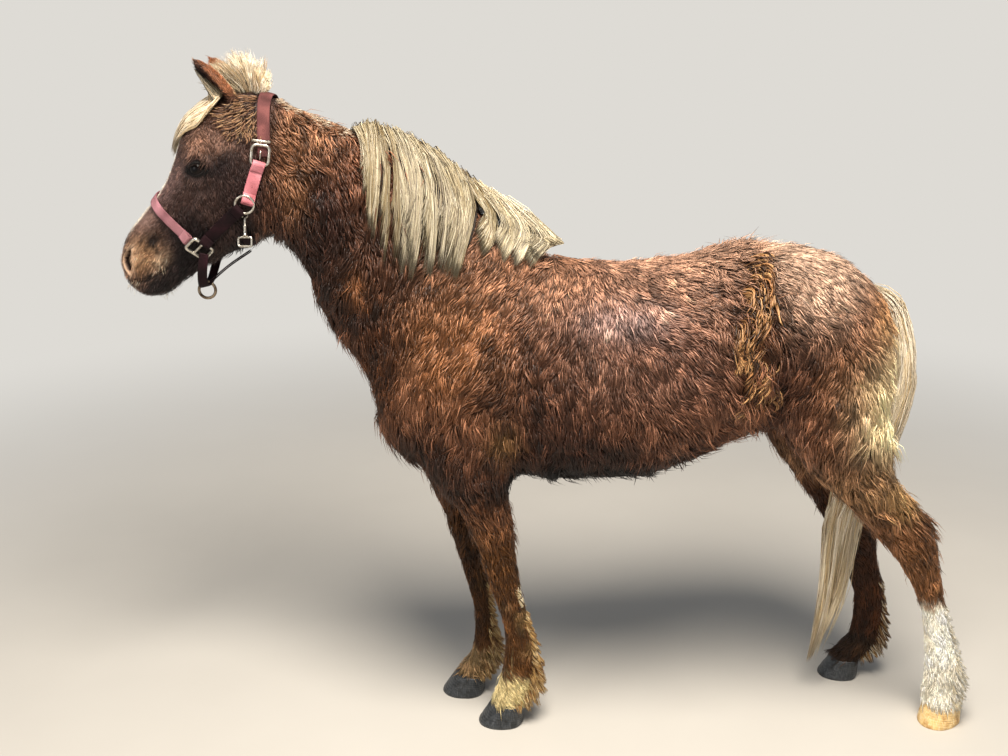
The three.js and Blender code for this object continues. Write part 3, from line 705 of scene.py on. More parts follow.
# place from the side (x, z), reach along x and z, colour, strength
BODY_PATCHES = [
    # the next four patches: paler along the back, croup and withers, sun-faded hair with a painted highlight
    # over it
    ((0.20, 1.05), (0.50, 0.07), "#a8846d", 0.9),
    ((0.15, 0.98), (0.35, 0.06), "#a5806c", 0.75),
    ((0.52, 1.02), (0.17, 0.10), "#c7aa95", 0.9),
    ((-0.05, 1.02), (0.12, 0.06), "#9a6e52", 0.7),
    ((0.17, 0.86), (0.20, 0.09), "#825f50", 0.75),
    # painted sheen: a lilac-grey highlight on the upper ribs
    ((0.12, 0.935), (0.08, 0.03), "#a08c8c", 0.55),
    ((-0.22, 0.90), (0.13, 0.13), "#93623a", 0.75),
    ((-0.36, 0.84), (0.06, 0.11), "#432308", 0.9),
    ((-0.40, 0.75), (0.05, 0.06), "#3a200a", 0.8),
    # painted shade over the hollow low on the shoulder
    ((-0.28, 0.66), (0.09, 0.06), "#2c180c", 0.85),
    # painted shade: a dark line at the back edge of the muscle above the elbow
    ((-0.12, 0.79), (0.035, 0.08), "#3c2414", 0.75),
    ((-0.11, 0.695), (0.03, 0.035), "#8a6a34", 0.6),
    # the next two patches: painted shade behind the elbow, darkest in its hollow
    ((0.00, 0.70), (0.09, 0.12), "#3f251a", 0.8),
    ((-0.055, 0.80), (0.02, 0.10), "#1d100b", 0.7),
    # the next two patches: darker low on the trunk and near black under the belly, painted shade over damp
    # hair
    ((0.10, 0.68), (0.10, 0.04), "#3a2219", 0.6),
    ((0.15, 0.585), (0.50, 0.082), "#0b0504", 0.99),
    ((-0.50, 1.10), (0.11, 0.15), "#221210", 0.92),
    ((-0.42, 0.97), (0.10, 0.10), "#2c170c", 0.88),
    ((-0.51, 1.29), (0.09, 0.045), "#93694c", 0.85),
    ((-0.53, 1.20), (0.03, 0.07), "#7d5536", 0.6),
    ((-0.40, 1.00), (0.03, 0.035), "#8f5a2c", 0.5),
    ((-0.33, 1.05), (0.10, 0.08), "#3c2317", 0.75),
    ((0.375, 0.88), (0.045, 0.14), "#6e4326", 0.85),
    ((0.33, 0.97), (0.05, 0.05), "#5b3c2e", 0.6),
    # painted shade in the groove between the flank and the thigh
    ((0.425, 0.78), (0.022, 0.12), "#2d180e", 0.85),
    ((0.47, 0.84), (0.05, 0.09), "#432920", 0.8),
    ((0.56, 0.82), (0.07, 0.10), "#70482b", 0.8),
    ((0.60, 0.93), (0.05, 0.06), "#96694f", 0.7),
    ((0.65, 0.92), (0.045, 0.07), "#a5703f", 0.85),
    ((0.66, 0.76), (0.065, 0.12), "#f3e0b4", 0.95),
    ((0.60, 0.60), (0.09, 0.07), "#9a7650", 0.8),
    ((0.55, 0.66), (0.06, 0.05), "#54351f", 0.6),
    ((0.76, 0.45), (0.07, 0.07), "#76492d", 0.85),
    ((0.70, 0.56), (0.04, 0.05), "#c9a66c", 0.55),
]
# place in the head's frame (u, v), reach along both, colour, strength
HEAD_PATCHES = [
    # darker over the cheek: its own dark brown, with painted shade on it
    ((120, -70), (80, 62), "#3c2926", 0.9),
    # near black under the jaw: painted shade
    ((200, -140), (140, 40), "#120b0c", 0.95),
    ((230, -8), (60, 40), "#4c3833", 0.7),
    # paler down the front of the face: its own mauve-grey, with painted light on it
    ((250, 42), (75, 17), "#977a76", 0.9),
    ((122, 44), (28, 18), "#a37c68", 0.9),
    ((92, 10), (26, 18), "#a88474", 0.85),
    ((70, -44), (24, 18), "#6e5147", 0.7),
    ((128, -14), (26, 13), "#261717", 0.9),
    # painted shade: a dark line in the crease over the upper lid
    ((150, 26), (15, 6), "#38231f", 0.9),
    ((50, 40), (28, 26), "#7c5340", 0.7),
    ((40, 80), (40, 26), "#94694d", 0.8),
    ((285, -34), (50, 40), "#2a1e1f", 0.85),
    # paler down the front of the nose: its own colour, with painted light on it
    ((320, 42), (26, 16), "#a98a80", 0.75),
    ((385, 6), (40, 36), "#9c7857", 0.92),
    ((400, 24), (20, 14), "#c6a588", 0.85),
    ((368, -30), (20, 14), "#b39a80", 0.85),
    # painted shade in the hollow above the nostril
    ((346, 8), (16, 12), "#1a100e", 0.95),
    # near black under the jaw towards the chin: painted shade
    ((318, -66), (80, 24), "#120a0c", 0.9),
    ((444, 12), (18, 20), "#8f6f5c", 0.7),
    # the next three patches: near black on the chin and round the lower lip, painted shade
    ((425, -52), (46, 24), "#1f1819", 0.95),
    ((372, -72), (26, 20), "#231a1a", 0.9),
    ((340, -70), (40, 30), "#1c1415", 0.85),
]
FACE_BROWN = "#55403b"
BLAZE = "#efe4d6"
SOCK = "#fbf6e6"
LEG_BROWN = {"near_fore": "#5b370e", "off_fore": "#4b2c09", "near_hind": "#7d532e", "off_hind": "#43240c"}
PASTERN = {"near_fore": "#d8c896", "off_fore": "#937a55", "near_hind": SOCK, "off_hind": "#33200f"}
SOCK_TOP = 0.305
PASTERN_TOP = 0.125


def blended(colour, code, share):
    """Mixes a hex colour into the colours of many points, as much as each one's share says."""
    return colour + share[:, None] * (np.array(linear(code)[:3]) - colour)


def plain(code, count):
    """One hex colour for each of many points, in linear light."""
    return np.tile(linear(code)[:3], (count, 1))


def patched(colour, places, patches):
    """Lays soft patches over a colour, each round its own middle."""
    for middle, reach, code, share in patches:
        colour = blended(colour, code, share * np.minimum(mound(places, middle, reach) * 1.3, 1))
    return colour


def blaze_share(points):
    """1 on the white stripe down the face."""
    u, v, s = in_head(points)
    ragged = noise(points, 0.012, 5) * 3
    width = 43 - 14 * between(u, 130, 300) + ragged
    long = between(u, 20, 60) * between(-u, -385, -345)
    return between(width - s, -6, 6) * between(v, 28, 40) * long * head_share(points)


def coat_colour(points):
    """The hair's colour at each point, in linear light."""
    x, y, z = points.T
    colour = patched(plain(CHESTNUT, len(points)), (x, z), BODY_PATCHES)
    lie_streaks = noise(points * (1, 1, 0.3), 0.011, 13) + 0.6 * noise(points * (0.5, 1, 1), 0.02, 14)
    colour = colour * np.exp(0.30 * lie_streaks * between(z, 0.55, 0.65))[:, None]
    ragged_height = z + noise(points, 0.02, 3) * 0.014
    for name, code in LEG_BROWN.items():
        side, end = name.split("_")
        leg = between(-z, -0.60, -0.42) * (y * SIDES[side] > 0) * ((x > 0.3) == (end == "hind"))
        colour = blended(colour, code, leg)
        top = SOCK_TOP if name == "near_hind" else PASTERN_TOP
        colour = blended(colour, PASTERN[name], leg * between(-ragged_height, -top - 0.012, -top + 0.012))
    behind_cannon = between(-z, -0.33, -0.27) * between(z, 0.13, 0.2) * (x < 0)
    colour = blended(colour, "#a98b5a", 0.4 * behind_cannon * between(noise(points, 0.03, 9), 0.0, 0.5))
    u, v, _ = in_head(points)
    head = head_share(points)
    face = patched(plain(FACE_BROWN, len(points)), (u, v), HEAD_PATCHES)
    face = blended(face, BLAZE, blaze_share(points))
    colour = colour + head[:, None] * (face - colour)
    t, rearward, _ = in_ear(points)
    ear = blended(plain("#5a392c", len(points)), "#97603f", between(rearward / MM, 4, 9))
    # the front half of the ear is painted darker: painted shade
    ear = blended(ear, "#2b1a17", between(-rearward / MM, 0, 6))
    ear = blended(ear, "#d9b08a", between(t, 0.9, 0.99))
    ear = blended(ear, "#b56f42", 0.8 * (y > 0))
    colour = colour + ear_share(points)[:, None] * (ear - colour)
    # painted shade: the hair round the lids is painted near black, as the shade of the socket
    along, up, _ = in_eye(u, v)
    eye_socket_shade = np.hypot((along + 1) / 25, (up - 0.5) / 13.5)
    colour = blended(colour, "#0f0807", between(-eye_socket_shade, -1.2, -0.95) * head)
    mottle = 1 + 0.20 * noise(points, 0.09, 11) + 0.16 * noise(points, 0.035, 12)
    return np.clip(colour * mottle[:, None], 0, 1)


def paint(piece, colours):
    """Writes a colour for each point of the piece, which its material reads."""
    attribute = piece.data.color_attributes.new("coat", "FLOAT_COLOR", "POINT")
    rows = np.concatenate([colours, np.ones((len(colours), 1))], 1)
    attribute.data.foreach_set("color", rows.astype(np.float32).ravel())


# %% [markdown]
# Hair is combed: at some places of the body a guide says which way the coat lies there, how long it is, how
# far it stands up and how much it curls. A tuft asks all guides and listens most to the nearest. The lie is
# an angle seen from the side, from straight down, towards the tail. This pony is shedding in damp weather:
# its coat lies forward over the shoulder, back along the ribs, and in curls in front of the thigh.

# %% Comb guides
# place (x, z), lie in degrees, length in millimetres, lift, curl
COMB = [
    ((-0.10, 1.06), -40, 26, 0.25, 0.2),
    ((-0.04, 1.05), -26, 26, 0.22, 0.2),
    ((0.01, 1.05), -4, 26, 0.2, 0.2),
    ((0.04, 0.99), 4, 28, 0.22, 0.2),
    ((-0.17, 0.99), -42, 32, 0.25, 0.2),
    ((-0.21, 0.88), -26, 34, 0.28, 0.3),
    ((-0.30, 0.78), -6, 36, 0.35, 0.3),
    ((-0.37, 0.86), 8, 34, 0.3, 0.2),
    ((-0.33, 0.72), 20, 38, 0.3, 0.3),
    ((-0.25, 0.64), 12, 40, 0.35, 0.3),
    ((-0.07, 0.93), -26, 32, 0.25, 0.2),
    ((-0.13, 0.80), -40, 36, 0.32, 0.6),
    ((-0.16, 0.70), -12, 38, 0.3, 0.3),
    ((-0.03, 0.75), 6, 32, 0.25, 0.2),
    ((0.05, 1.05), 24, 26, 0.2, 0.2),
    ((0.10, 1.04), 50, 24, 0.22, 0.2),
    ((0.07, 0.94), -4, 30, 0.25, 0.2),
    ((0.12, 0.90), 18, 28, 0.25, 0.2),
    ((0.17, 0.83), 32, 28, 0.22, 0.2),
    ((0.08, 0.76), 10, 30, 0.25, 0.2),
    ((0.03, 0.60), -10, 34, 0.35, 0.2),
    ((0.22, 0.61), -16, 34, 0.35, 0.3),
    ((0.22, 1.03), 66, 24, 0.22, 0.2),
    ((0.26, 0.92), 62, 28, 0.25, 0.2),
    ((0.26, 0.79), 48, 30, 0.25, 0.3),
    ((0.29, 0.69), 30, 34, 0.3, 0.3),
    ((0.33, 0.92), 50, 36, 0.5, 0.8),
    ((0.375, 0.91), 15, 44, 0.7, 1.2),
    ((0.385, 0.80), 0, 44, 0.6, 1.2),
    ((0.37, 1.00), 45, 34, 0.5, 0.8),
    ((0.42, 0.76), 10, 34, 0.3, 0.4),
    ((0.49, 1.05), 64, 24, 0.22, 0.2),
    ((0.57, 0.99), 50, 28, 0.25, 0.3),
    ((0.45, 0.97), 42, 28, 0.3, 0.3),
    ((0.46, 0.82), -28, 32, 0.3, 0.3),
    ((0.52, 0.85), -12, 30, 0.25, 0.2),
    ((0.51, 0.72), -6, 32, 0.28, 0.3),
    ((0.60, 0.88), 34, 34, 0.35, 0.4),
    ((0.64, 0.80), 16, 38, 0.4, 0.4),
    ((0.62, 0.70), -6, 42, 0.4, 0.3),
    ((0.62, 0.60), 26, 36, 0.35, 0.4),
    ((0.53, 0.62), 18, 32, 0.3, 0.3),
    ((0.72, 0.50), 34, 30, 0.35, 0.5),
    ((0.80, 0.42), 26, 28, 0.35, 0.5),
    ((0.83, 0.32), 18, 22, 0.3, 0.3),
    ((0.86, 0.20), 8, 22, 0.3, 0.3),
    ((0.87, 0.09), 24, 26, 0.35, 0.3),
    ((0.70, 0.30), 12, 18, 0.25, 0.2),
    ((0.72, 0.12), -14, 24, 0.35, 0.3),
    ((-0.52, 1.10), 6, 34, 0.3, 0.4),
    ((-0.50, 1.29), 40, 26, 0.35, 0.8),
    ((-0.43, 1.24), 28, 34, 0.35, 0.6),
    ((-0.41, 1.14), 8, 38, 0.35, 0.4),
    ((-0.38, 1.04), -6, 38, 0.35, 0.4),
    ((-0.44, 0.96), 6, 36, 0.35, 0.4),
    ((-0.31, 0.98), -16, 34, 0.3, 0.3),
    ((-0.22, 1.08), -30, 30, 0.25, 0.2),
    ((-0.10, 0.50), 10, 26, 0.3, 0.4),
    ((-0.24, 0.50), 10, 26, 0.3, 0.4),
    ((-0.14, 0.35), 4, 22, 0.3, 0.4),
    ((-0.21, 0.35), 4, 22, 0.3, 0.3),
    ((-0.09, 0.22), 4, 16, 0.25, 0.2),
    ((-0.18, 0.22), 6, 16, 0.25, 0.2),
    ((-0.10, 0.09), 22, 24, 0.35, 0.3),
    ((-0.19, 0.09), 26, 24, 0.35, 0.3),
]


def combed(points):
    """Lie in degrees, length in metres, lift and curl at each point, from the guides round it."""
    x, z = points[:, 0], points[:, 2]
    total = np.zeros((len(points), 4))
    weights = np.zeros(len(points))
    for (at_x, at_z), *facts in COMB:
        weight = 1 / ((x - at_x) ** 2 + (z - at_z) ** 2 + 0.0004) ** 2
        total += weight[:, None] * np.array(facts)
        weights += weight
    facts = total / weights[:, None]
    return facts[:, 0], facts[:, 1] * MM, facts[:, 2], facts[:, 3]


def head_lie(points):
    """Lie of the hair on the head as a direction, its length in metres, lift and curl."""
    u, v, _ = in_head(points)
    aside = np.sign(points[:, 1])[:, None] * SIDEWAYS
    back = between(-v, -30, 40) * between(-u, -330, -230)
    way = ALONG - back[:, None] * (0.9 * FRONT + 0.35 * ALONG)
    temple = mound((u, v), (110, 42), (34, 22))
    way = way - temple[:, None] * (1.1 * FRONT + 0.8 * ALONG)
    way = way + (0.5 * between(v, 30, 60) * between(-u, -150, -60))[:, None] * aside
    way = way + (0.8 * between(u, 400, 440))[:, None] * (aside - 0.6 * FRONT)
    length = 15 + 9 * between(-v, 60, 140) - 5 * between(v, 20, 50) - 4 * between(u, 280, 370)
    length = np.maximum(length + 7 * temple, 7.0) - between(u, 425, 450) * 2.5
    edge = in_eye(u, v)[2]
    length += (3.0 - length) * near_eye_share(points) * between(-edge, -3.2, -2.2)
    lift = 0.22 + 0.12 * between(-v, 40, 120) + 0.25 * temple + 0.2 * between(u, 330, 380)
    curl = 0.2 + 1.0 * temple
    return way, length * MM, lift, curl


# %% [markdown]
# A tuft is a small closed lock: a pointed root, a ring of three points where it is widest, and a long
# point. Hundreds of thousands make the coat, so they are built as arrays. Their roots are spread over the
# skin by throwing many points on its triangles and keeping one in each small cell of space, which leaves no
# clumps and no bare spots. Damp hair gathers: each tuft's tip is drawn towards the tip of the nearest of
# some leading tufts.

# %% Tuft tools
chance = np.random.default_rng(20)
skin_points, skin_triangles = arrays_of(skin.data)
skin_normals = corner_normals(skin_points, skin_triangles)


def scattered(points, triangles, spacing, allowed):
    """Roots about one spacing apart on the allowed triangles: places and normals."""
    chosen = triangles[allowed]
    a, b, c = (points[chosen[:, i]] for i in range(3))
    area = np.linalg.norm(np.cross(b - a, c - a), axis=1) / 2
    total = int(area.sum() / spacing**2 * 2.6)
    picked = np.searchsorted(np.cumsum(area) / area.sum(), chance.random(total)).clip(0, len(area) - 1)
    p, q = np.sqrt(chance.random(total)), chance.random(total)
    weight = np.stack([1 - p, p * (1 - q), p * q], 1)[:, :, None]
    corners = chosen[picked]
    places = (points[corners] * weight).sum(1)
    _, kept = np.unique(np.floor(places / spacing).astype(np.int64) @ (1, 10007, 10000019), return_index=True)
    normals = unit((skin_normals[corners[kept]] * weight[kept]).sum(1))
    return places[kept], normals


def locks(spine, width, thickness, upward):
    """Points and faces of closed three-sided locks, pointed at both ends, along spines (locks, steps, 3)."""
    count, steps = spine.shape[:2]
    ahead = unit(np.gradient(spine, axis=1))
    across = unit(np.cross(ahead, upward[:, None]))
    over = np.cross(across, ahead)
    wide = width[:, :, None] / 2
    thick = thickness[:, :, None]
    rings = np.stack([spine + across * wide, spine - across * wide, spine + over * thick], 2)[:, 1:-1]
    points = np.concatenate([spine[:, :1], rings.reshape(count, -1, 3), spine[:, -1:]], 1)
    faces = [(0, 1 + (i + 1) % 3, 1 + i) for i in range(3)]
    for step in range(steps - 3):
        for i in range(3):
            a, b = 1 + 3 * step + i, 1 + 3 * step + (i + 1) % 3
            faces += [(a, b, b + 3), (a, b + 3, a + 3)]
    last = 1 + 3 * (steps - 3)
    faces += [(last + i, last + (i + 1) % 3, last + 3) for i in range(3)]
    size = points.shape[1]
    corners = np.array(faces)[None] + (np.arange(count) * size)[:, None, None]
    return points, corners.reshape(-1, 3)


def unwrap(points):
    """Place on an unwrap of the skin's own shape: round the piece's axis, and along it."""
    low, high = points.min(0), points.max(0)
    x, y, z = (points - (low + high) / 2).T
    size = high - low
    if size[0] > size[2]:
        turn = np.arctan2(z, y)
        along = (points[:, 0] - low[0]) / size[0]
    else:
        turn = np.arctan2(y, x)
        along = (points[:, 2] - low[2]) / size[2]
    return np.stack([0.01 + 0.97 * (turn / (2 * math.pi) + 0.5), 0.01 + 0.97 * along], 1)


PATCH = 0.003


def along_lock(steps):
    """For each point of a lock: how far along it is, from 0 to 1, and its place across."""
    share = np.linspace(0, 1, steps)
    rings = steps - 2
    along = np.concatenate([[0.0], np.repeat(share[1:-1], 3), [1.0]])
    across = np.concatenate([[0.5], np.tile([1.0, 0.0, 0.5], rings), [0.5]])
    return along, across


def hair_piece(name, points, faces, steps, roots, colours, slot, paint_of, *nodes):
    """One piece of the coat: its mesh, its colours, its unwrap, and what it rides on."""
    piece = build(name, points.reshape(-1, 3), faces)
    paint(piece, colours.reshape(-1, 3))
    along, across = along_lock(steps)
    patch = np.stack([across, along], 1) * PATCH
    places = (unwrap(roots)[:, None] + patch[None]).reshape(-1, 2)
    layer = piece.data.uv_layers.new(name="OFBake")
    layer.data.foreach_set("uv", places[faces.ravel()].astype(np.float32).ravel())
    dressed(piece, paint_of, slot, *nodes)
    print(name + ":", len(roots), "locks", len(faces), "triangles")


# %% [markdown]
# The coat's material is winter hair: thin fibres with a waxy surface, here damp, so it shines more than dry
# hair. Fine streaks along it vary its colour. The shade from root to tip is in each tuft's own colours.
# Real fibres are a tenth of a millimetre across, so the streaks are drawn some ten times as coarse, or they
# wouldn't show.

# %% Winter hair material
def streaked(tree, scale, detail, darkest, palest, coordinates="Object"):
    """The piece's painted colour, made darker and paler by a fine noise, and the noise itself."""
    own = add(tree, "VertexColor", {"layer_name": "coat"})
    place = add(tree, "TexCoord")
    fine = add(tree, "TexNoise", _0=place.outputs[coordinates], Scale=scale, Detail=detail)
    tone = add(tree, "MapRange", _0=fine.outputs[0], _1=0.3, _2=0.7, _3=darkest, _4=palest)
    tint = add(tree, "VectorMath", {"operation": "SCALE"}, _0=own.outputs[0], Scale=tone.outputs[0])
    return tint.outputs[0], fine.outputs[0]


hair_paint, tree = material("damp_chestnut_winter_hair")
tint, _ = streaked(tree, 700.0, 2.0, 0.78, 1.22)
show(tree, add(tree, "BsdfPrincipled", Base_Color=tint, Roughness=0.38, Specular_IOR_Level=0.32))

skin_paint, tree = material("skin_with_underfur")
tint, fine = streaked(tree, 420.0, 4.0, 0.75, 1.2)
relief = add(tree, "Bump", Strength=0.35, Distance=0.001, Height=fine)
show(tree, add(tree, "BsdfPrincipled", Base_Color=tint, Roughness=0.5, Specular_IOR_Level=0.2), relief)

# %% [markdown]
# The skin is painted from the same markings, darker where deep hair shades it, and bare on the lids, in the
# nostrils and along the lips.

# %% Skin colours
LID_DARK = "#0c0706"
# a painted highlight on the fold over the upper lid
PAINTED_LID_HIGHLIGHT = "#6d5650"
NOSTRIL_DARK = "#1c1110"
NOSTRIL_RIM = "#d9b79a"
# dark lip skin, with painted shade in the crease of the mouth
LIP_DARK = "#120c0c"


def bare_share(points):
    """1 where the skin shows bare: on the lids, in the nostrils and between the lips."""
    u, v, s = in_head(points)
    lid = between(-in_eye(u, v)[2], -1.35, -1.15) * (s > 40)
    hole = between(-in_nostril(u, v), -1.25, -1.05) * (s > 22)
    far, _ = from_line(u, v, MOUTH)
    lip = between(-far, -2.2, -1.2) * between(u, 366, 386)
    return np.maximum(np.maximum(lid, hole), lip) * head_share(points)


def skin_colour(points):
    """The coat's colour in the hair's shade, dark where bare, a painted lid highlight and painted mouth
    shade.
    """
    u, v, s = in_head(points)
    head = head_share(points)
    colour = coat_colour(points)
    shade = 0.42 + 0.5 * head * between(u, 260, 400)
    shade = np.maximum(shade, 0.42 + 0.46 * between(colour.mean(1), 0.22, 0.6))
    colour = colour * shade[:, None]
    _, up, edge = in_eye(u, v)
    lids = between(-edge, -2.1, -1.6) * (s > 40) * head
    colour = blended(colour, LID_DARK, lids)
    # painted highlight: a pale arc on the fold over the upper lid
    lid_highlight = bump(edge, 1.85, 0.13) * between(up, 1, 5) * (s > 40) * head
    colour = blended(colour, PAINTED_LID_HIGHLIGHT, 0.8 * lid_highlight)
    hole = in_nostril(u, v)
    muzzle = (s > 22) * (u > 360) * head
    colour = blended(colour, NOSTRIL_RIM, 0.7 * muzzle * bump(hole, 1.2, 0.25))
    colour = blended(colour, NOSTRIL_DARK, muzzle * between(-hole, -1.0, -0.85))
    # the lips are dark skin, with painted shade in the crease between them
    far, _ = from_line(u, v, MOUTH)
    return blended(colour, LIP_DARK, between(-far, -6, -3) * between(u, 366, 386) * head)


paint(skin, skin_colour(skin_points))
dressed(skin, skin_paint, "coat", *FLESH)

# %% [markdown]
# The coat is made in several pieces, each under two hundred thousand triangles, by the parts of the body.
# Nothing grows under the halter's straps: a root is left out where the way out of the skin meets a strap.

# %% Coat
SPACING = {"head": 2.8, "neck": 4.05, "trunk": 4.05, "thighs": 3.95, "fore_legs": 3.8, "hind_legs": 3.8}
LEADERS = 18
STRAPS = [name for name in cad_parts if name.startswith("halter")]
strap_tree = ray_tree(*solid_of(*STRAPS))


def region_of(points):
    """The part of the body that each point belongs to, by name."""
    x, z = points[:, 0], points[:, 2]
    region = np.full(len(points), "trunk")
    region = np.where(x + 0.54 < (z - 0.64) * 1.18, "neck", region)
    region = np.where((x > 0.39) & (z < 0.905) & (x > 0.40 + (z - 0.64) * 0.2), "thighs", region)
    region = np.where((x > 0.3) & (z < 0.60), "hind_legs", region)
    region = np.where((x < 0.1) & (z < 0.60), "fore_legs", region)
    return np.where(head_share(points) > 0.5, "head", region)


def under_strap(points, normals):
    """Where the way out of the skin meets one of the halter's straps."""
    hits = [strap_tree.ray_cast(Vector(p), Vector(n), 0.03)[0] for p, n in zip(points, normals)]
    return np.array([hit is not None for hit in hits])


def lie_of(points, normals):
    """Direction along the skin, length, lift and curl of the hair at each point."""
    lie, length, lift, curl = combed(points)
    swirl = 22 * noise(points, 0.05, 1) + 16 * noise(points, 0.022, 12)
    lie = np.radians(lie + swirl + chance.normal(0, 9, len(points)))
    lift = lift * np.clip(1 + 0.8 * noise(points, 0.03, 11), 0.3, 2.2)
    lift = lift * (1 - 0.45 * between(-points[:, 2], -0.38, -0.28))
    side = np.clip(points[:, 1] / 0.05, -1, 1)
    way = np.stack([np.sin(lie), 0.55 * side * between(normals[:, 2], 0.1, 0.9), -np.cos(lie)], 1)
    belly = between(-normals[:, 2], 0.5, 0.9)[:, None] * (points[:, 2] > 0.5)[:, None]
    way = way + belly * np.array([0.8, 0.0, 0.0])
    head = head_share(points)
    on_head, head_length, head_lift, head_curl = head_lie(points)
    way = way + head[:, None] * (on_head - way)
    way = way + head[:, None] * 0.35 * np.stack([noise(points, 0.02, k) for k in (2, 3, 4)], 1)
    ear = ear_share(points)
    way = way + ear[:, None] * (unit(EAR_TIP - EAR_ROOT) - way)
    length = length + head * (head_length - length)
    length = length + ear * (9 * MM - length)
    lift = lift + ear * (0.35 - lift)
    lift = lift + head * (head_lift - lift)
    curl = curl + head * (head_curl - curl)
    way = unit(way - (way * normals).sum(1, keepdims=True) * normals)
    return way, length, lift, curl * (1 - ear)


WIDEST = 0.36


def led_by(places, number):
    """Makes some of the places leaders by chance, and gives each place's nearest leader and how far it is."""
    leaders = chance.permutation(len(places))[: max(number, 1)]
    tree = KDTree(len(leaders))
    for i, leader in enumerate(leaders):
        tree.insert(places[leader], i)
    tree.balance()
    found = [tree.find(place) for place in places]
    return leaders[[hit[1] for hit in found]], np.array([hit[2] for hit in found])


def grown(roots, normals):
    """Spines of the tufts: they leave the skin at a slant, bend over, lie down, and gather at their tips."""
    way, length, lift, curl = lie_of(roots, normals)
    count = len(roots)
    length = length * chance.uniform(0.8, 1.25, count)
    stray = chance.random(count) < 0.10
    length = np.where(stray, length * 1.3, length)
    across = np.cross(normals, way)
    swing = (noise(roots, 0.03, 7) * 0.8 + chance.normal(0, 0.3, count)) * curl
    t = np.array([0, WIDEST, 1])[None, :, None]
    reach = length[:, None, None]
    rise = (lift * chance.uniform(0.5, 1.3, count) * np.where(stray, 1.5, 1))[:, None, None]
    spine = roots[:, None] + reach * t * way[:, None] + reach * rise * (1.6 * t - t * t) * normals[:, None]
    spine = spine + reach * (swing[:, None, None] * (t * t) * across[:, None])
    nearest, _ = led_by(roots, count // LEADERS)
    pull = spine[nearest] - roots[nearest][:, None] + (roots[nearest] * 0.66 + roots * 0.34)[:, None] - spine
    near_enough = (np.linalg.norm(roots[nearest] - roots, axis=1) < 0.8 * length) & ~stray
    gather = 0.7 * near_enough[:, None, None] * t**1.5
    return spine + gather * pull, length, nearest, stray


def coat_shades(roots, nearest, stray):
    """Colours along tufts, no two alike: painted shade at the root, a sun-faded tip with a painted highlight.
    """
    count = len(roots)
    base = coat_colour(roots)
    pale = between(base.mean(1), 0.22, 0.55)
    own = 0.30 * chance.normal(0, 1, count)
    shared = (0.34 * chance.normal(0, 1, count))[nearest]
    tone = np.exp(own + shared + 0.3 * stray)
    tone = tone + (1 - tone) * 0.7 * pale
    u = in_head(roots)[0]
    tone = tone ** (1 - 0.45 * head_share(roots) * (1 - 2.6 * between(u, 320, 380)))
    # painted highlight: lighter tufts are blended towards a pale pinkish tan, as thin streaks of sheen
    painted_highlight = 0.30 * between(tone, 1.1, 2.0) * between(base.mean(1), 0.02, 0.1)
    base = blended(base * tone[:, None], "#c79f86", painted_highlight)
    along, _ = along_lock(3)
    t = np.where(along == 0.5, WIDEST, along)[None, :, None]
    # the dark root is painted shade among the tufts, and the tip is sun-faded hair made paler still as a
    # painted highlight
    root_shade = (0.25 + 0.6 * pale)[:, None, None]
    tip = (base * (1.12, 1.06, 1.0) + 0.006)[:, None] * 1.25
    return np.clip(base[:, None] * root_shade + t**0.8 * (tip - base[:, None] * root_shade), 0, 1)


# where the barrel is widest its tufts are combed flat, and stay within these distances from the middle
WIDEST_BODY = 0.214
SHAGGY = 0.009


def combed_flat(spine):
    """Presses the tufts that stand out furthest sideways closer to the barrel."""
    out = np.abs(spine[..., 1]) - WIDEST_BODY
    pressed = WIDEST_BODY + SHAGGY * np.tanh(out / SHAGGY)
    spine[..., 1] = np.where(out > 0, np.sign(spine[..., 1]) * pressed, spine[..., 1])


def lay_coat(name, roots, normals):
    """One piece of the coat, from its roots on the skin."""
    spine, length, nearest, stray = grown(roots, normals)
    combed_flat(spine)
    broad = np.clip(0.085 * length, 0.8 * MM, 3.4 * MM) * chance.uniform(0.7, 1.25, len(roots))
    width = np.repeat(np.where(stray, 0.7 * broad, broad)[:, None], 3, axis=1)
    points, faces = locks(spine, width, width * 0.4, normals)
    hair_piece(name, points, faces, 3, roots, coat_shades(roots, nearest, stray), "coat", hair_paint)


centre = skin_points[skin_triangles].mean(1)
regions = region_of(centre)
bare = bare_share(centre) > 0.5
for name, spacing in SPACING.items():
    allowed = (regions == name) & ~bare
    roots, normals = scattered(skin_points, skin_triangles, spacing * MM, allowed)
    if name == "head":
        clear = ~under_strap(roots, normals)
        roots, normals = roots[clear], normals[clear]
    parts = {name: np.full(len(roots), True)}
    if name == "trunk":
        ahead = roots[:, 0] < np.median(roots[:, 0])
        near = roots[:, 1] < 0
        parts = {
            "near_shoulder": ahead & near,
            "off_shoulder": ahead & ~near,
            "near_flank": ~ahead & near,
            "off_flank": ~ahead & ~near,
        }
    elif name in ("head", "thighs"):
        parts = {"near_" + name: roots[:, 1] < 0, "off_" + name: roots[:, 1] >= 0}
    for part, chosen in parts.items():
        lay_coat("coat_" + part, roots[chosen], normals[chosen])


# %% [markdown]
# The long hair is coarse, straight and pale. Each strand is a lock like a tuft's, with more steps, so that
# it can hang in a curve. Strands gather in locks that end in ragged points, so a share of the strands lead
# and the others are drawn to the nearest leader. A flaxen mane isn't one colour: there is gold in it, and
# dark roots.

# %% Flaxen hair
FLAXEN_SHADES = ["#e2d3b4", "#f3e8d5", "#cfb78d", "#ba9b73", "#937a5d"]
FLAXEN_SHARES = [0.34, 0.26, 0.22, 0.12, 0.06]

flaxen_paint, tree = material("flaxen_horsehair")
tint, _ = streaked(tree, 500.0, 2.0, 0.84, 1.1)
show(tree, add(tree, "BsdfPrincipled", Base_Color=tint, Roughness=0.42, Specular_IOR_Level=0.4))


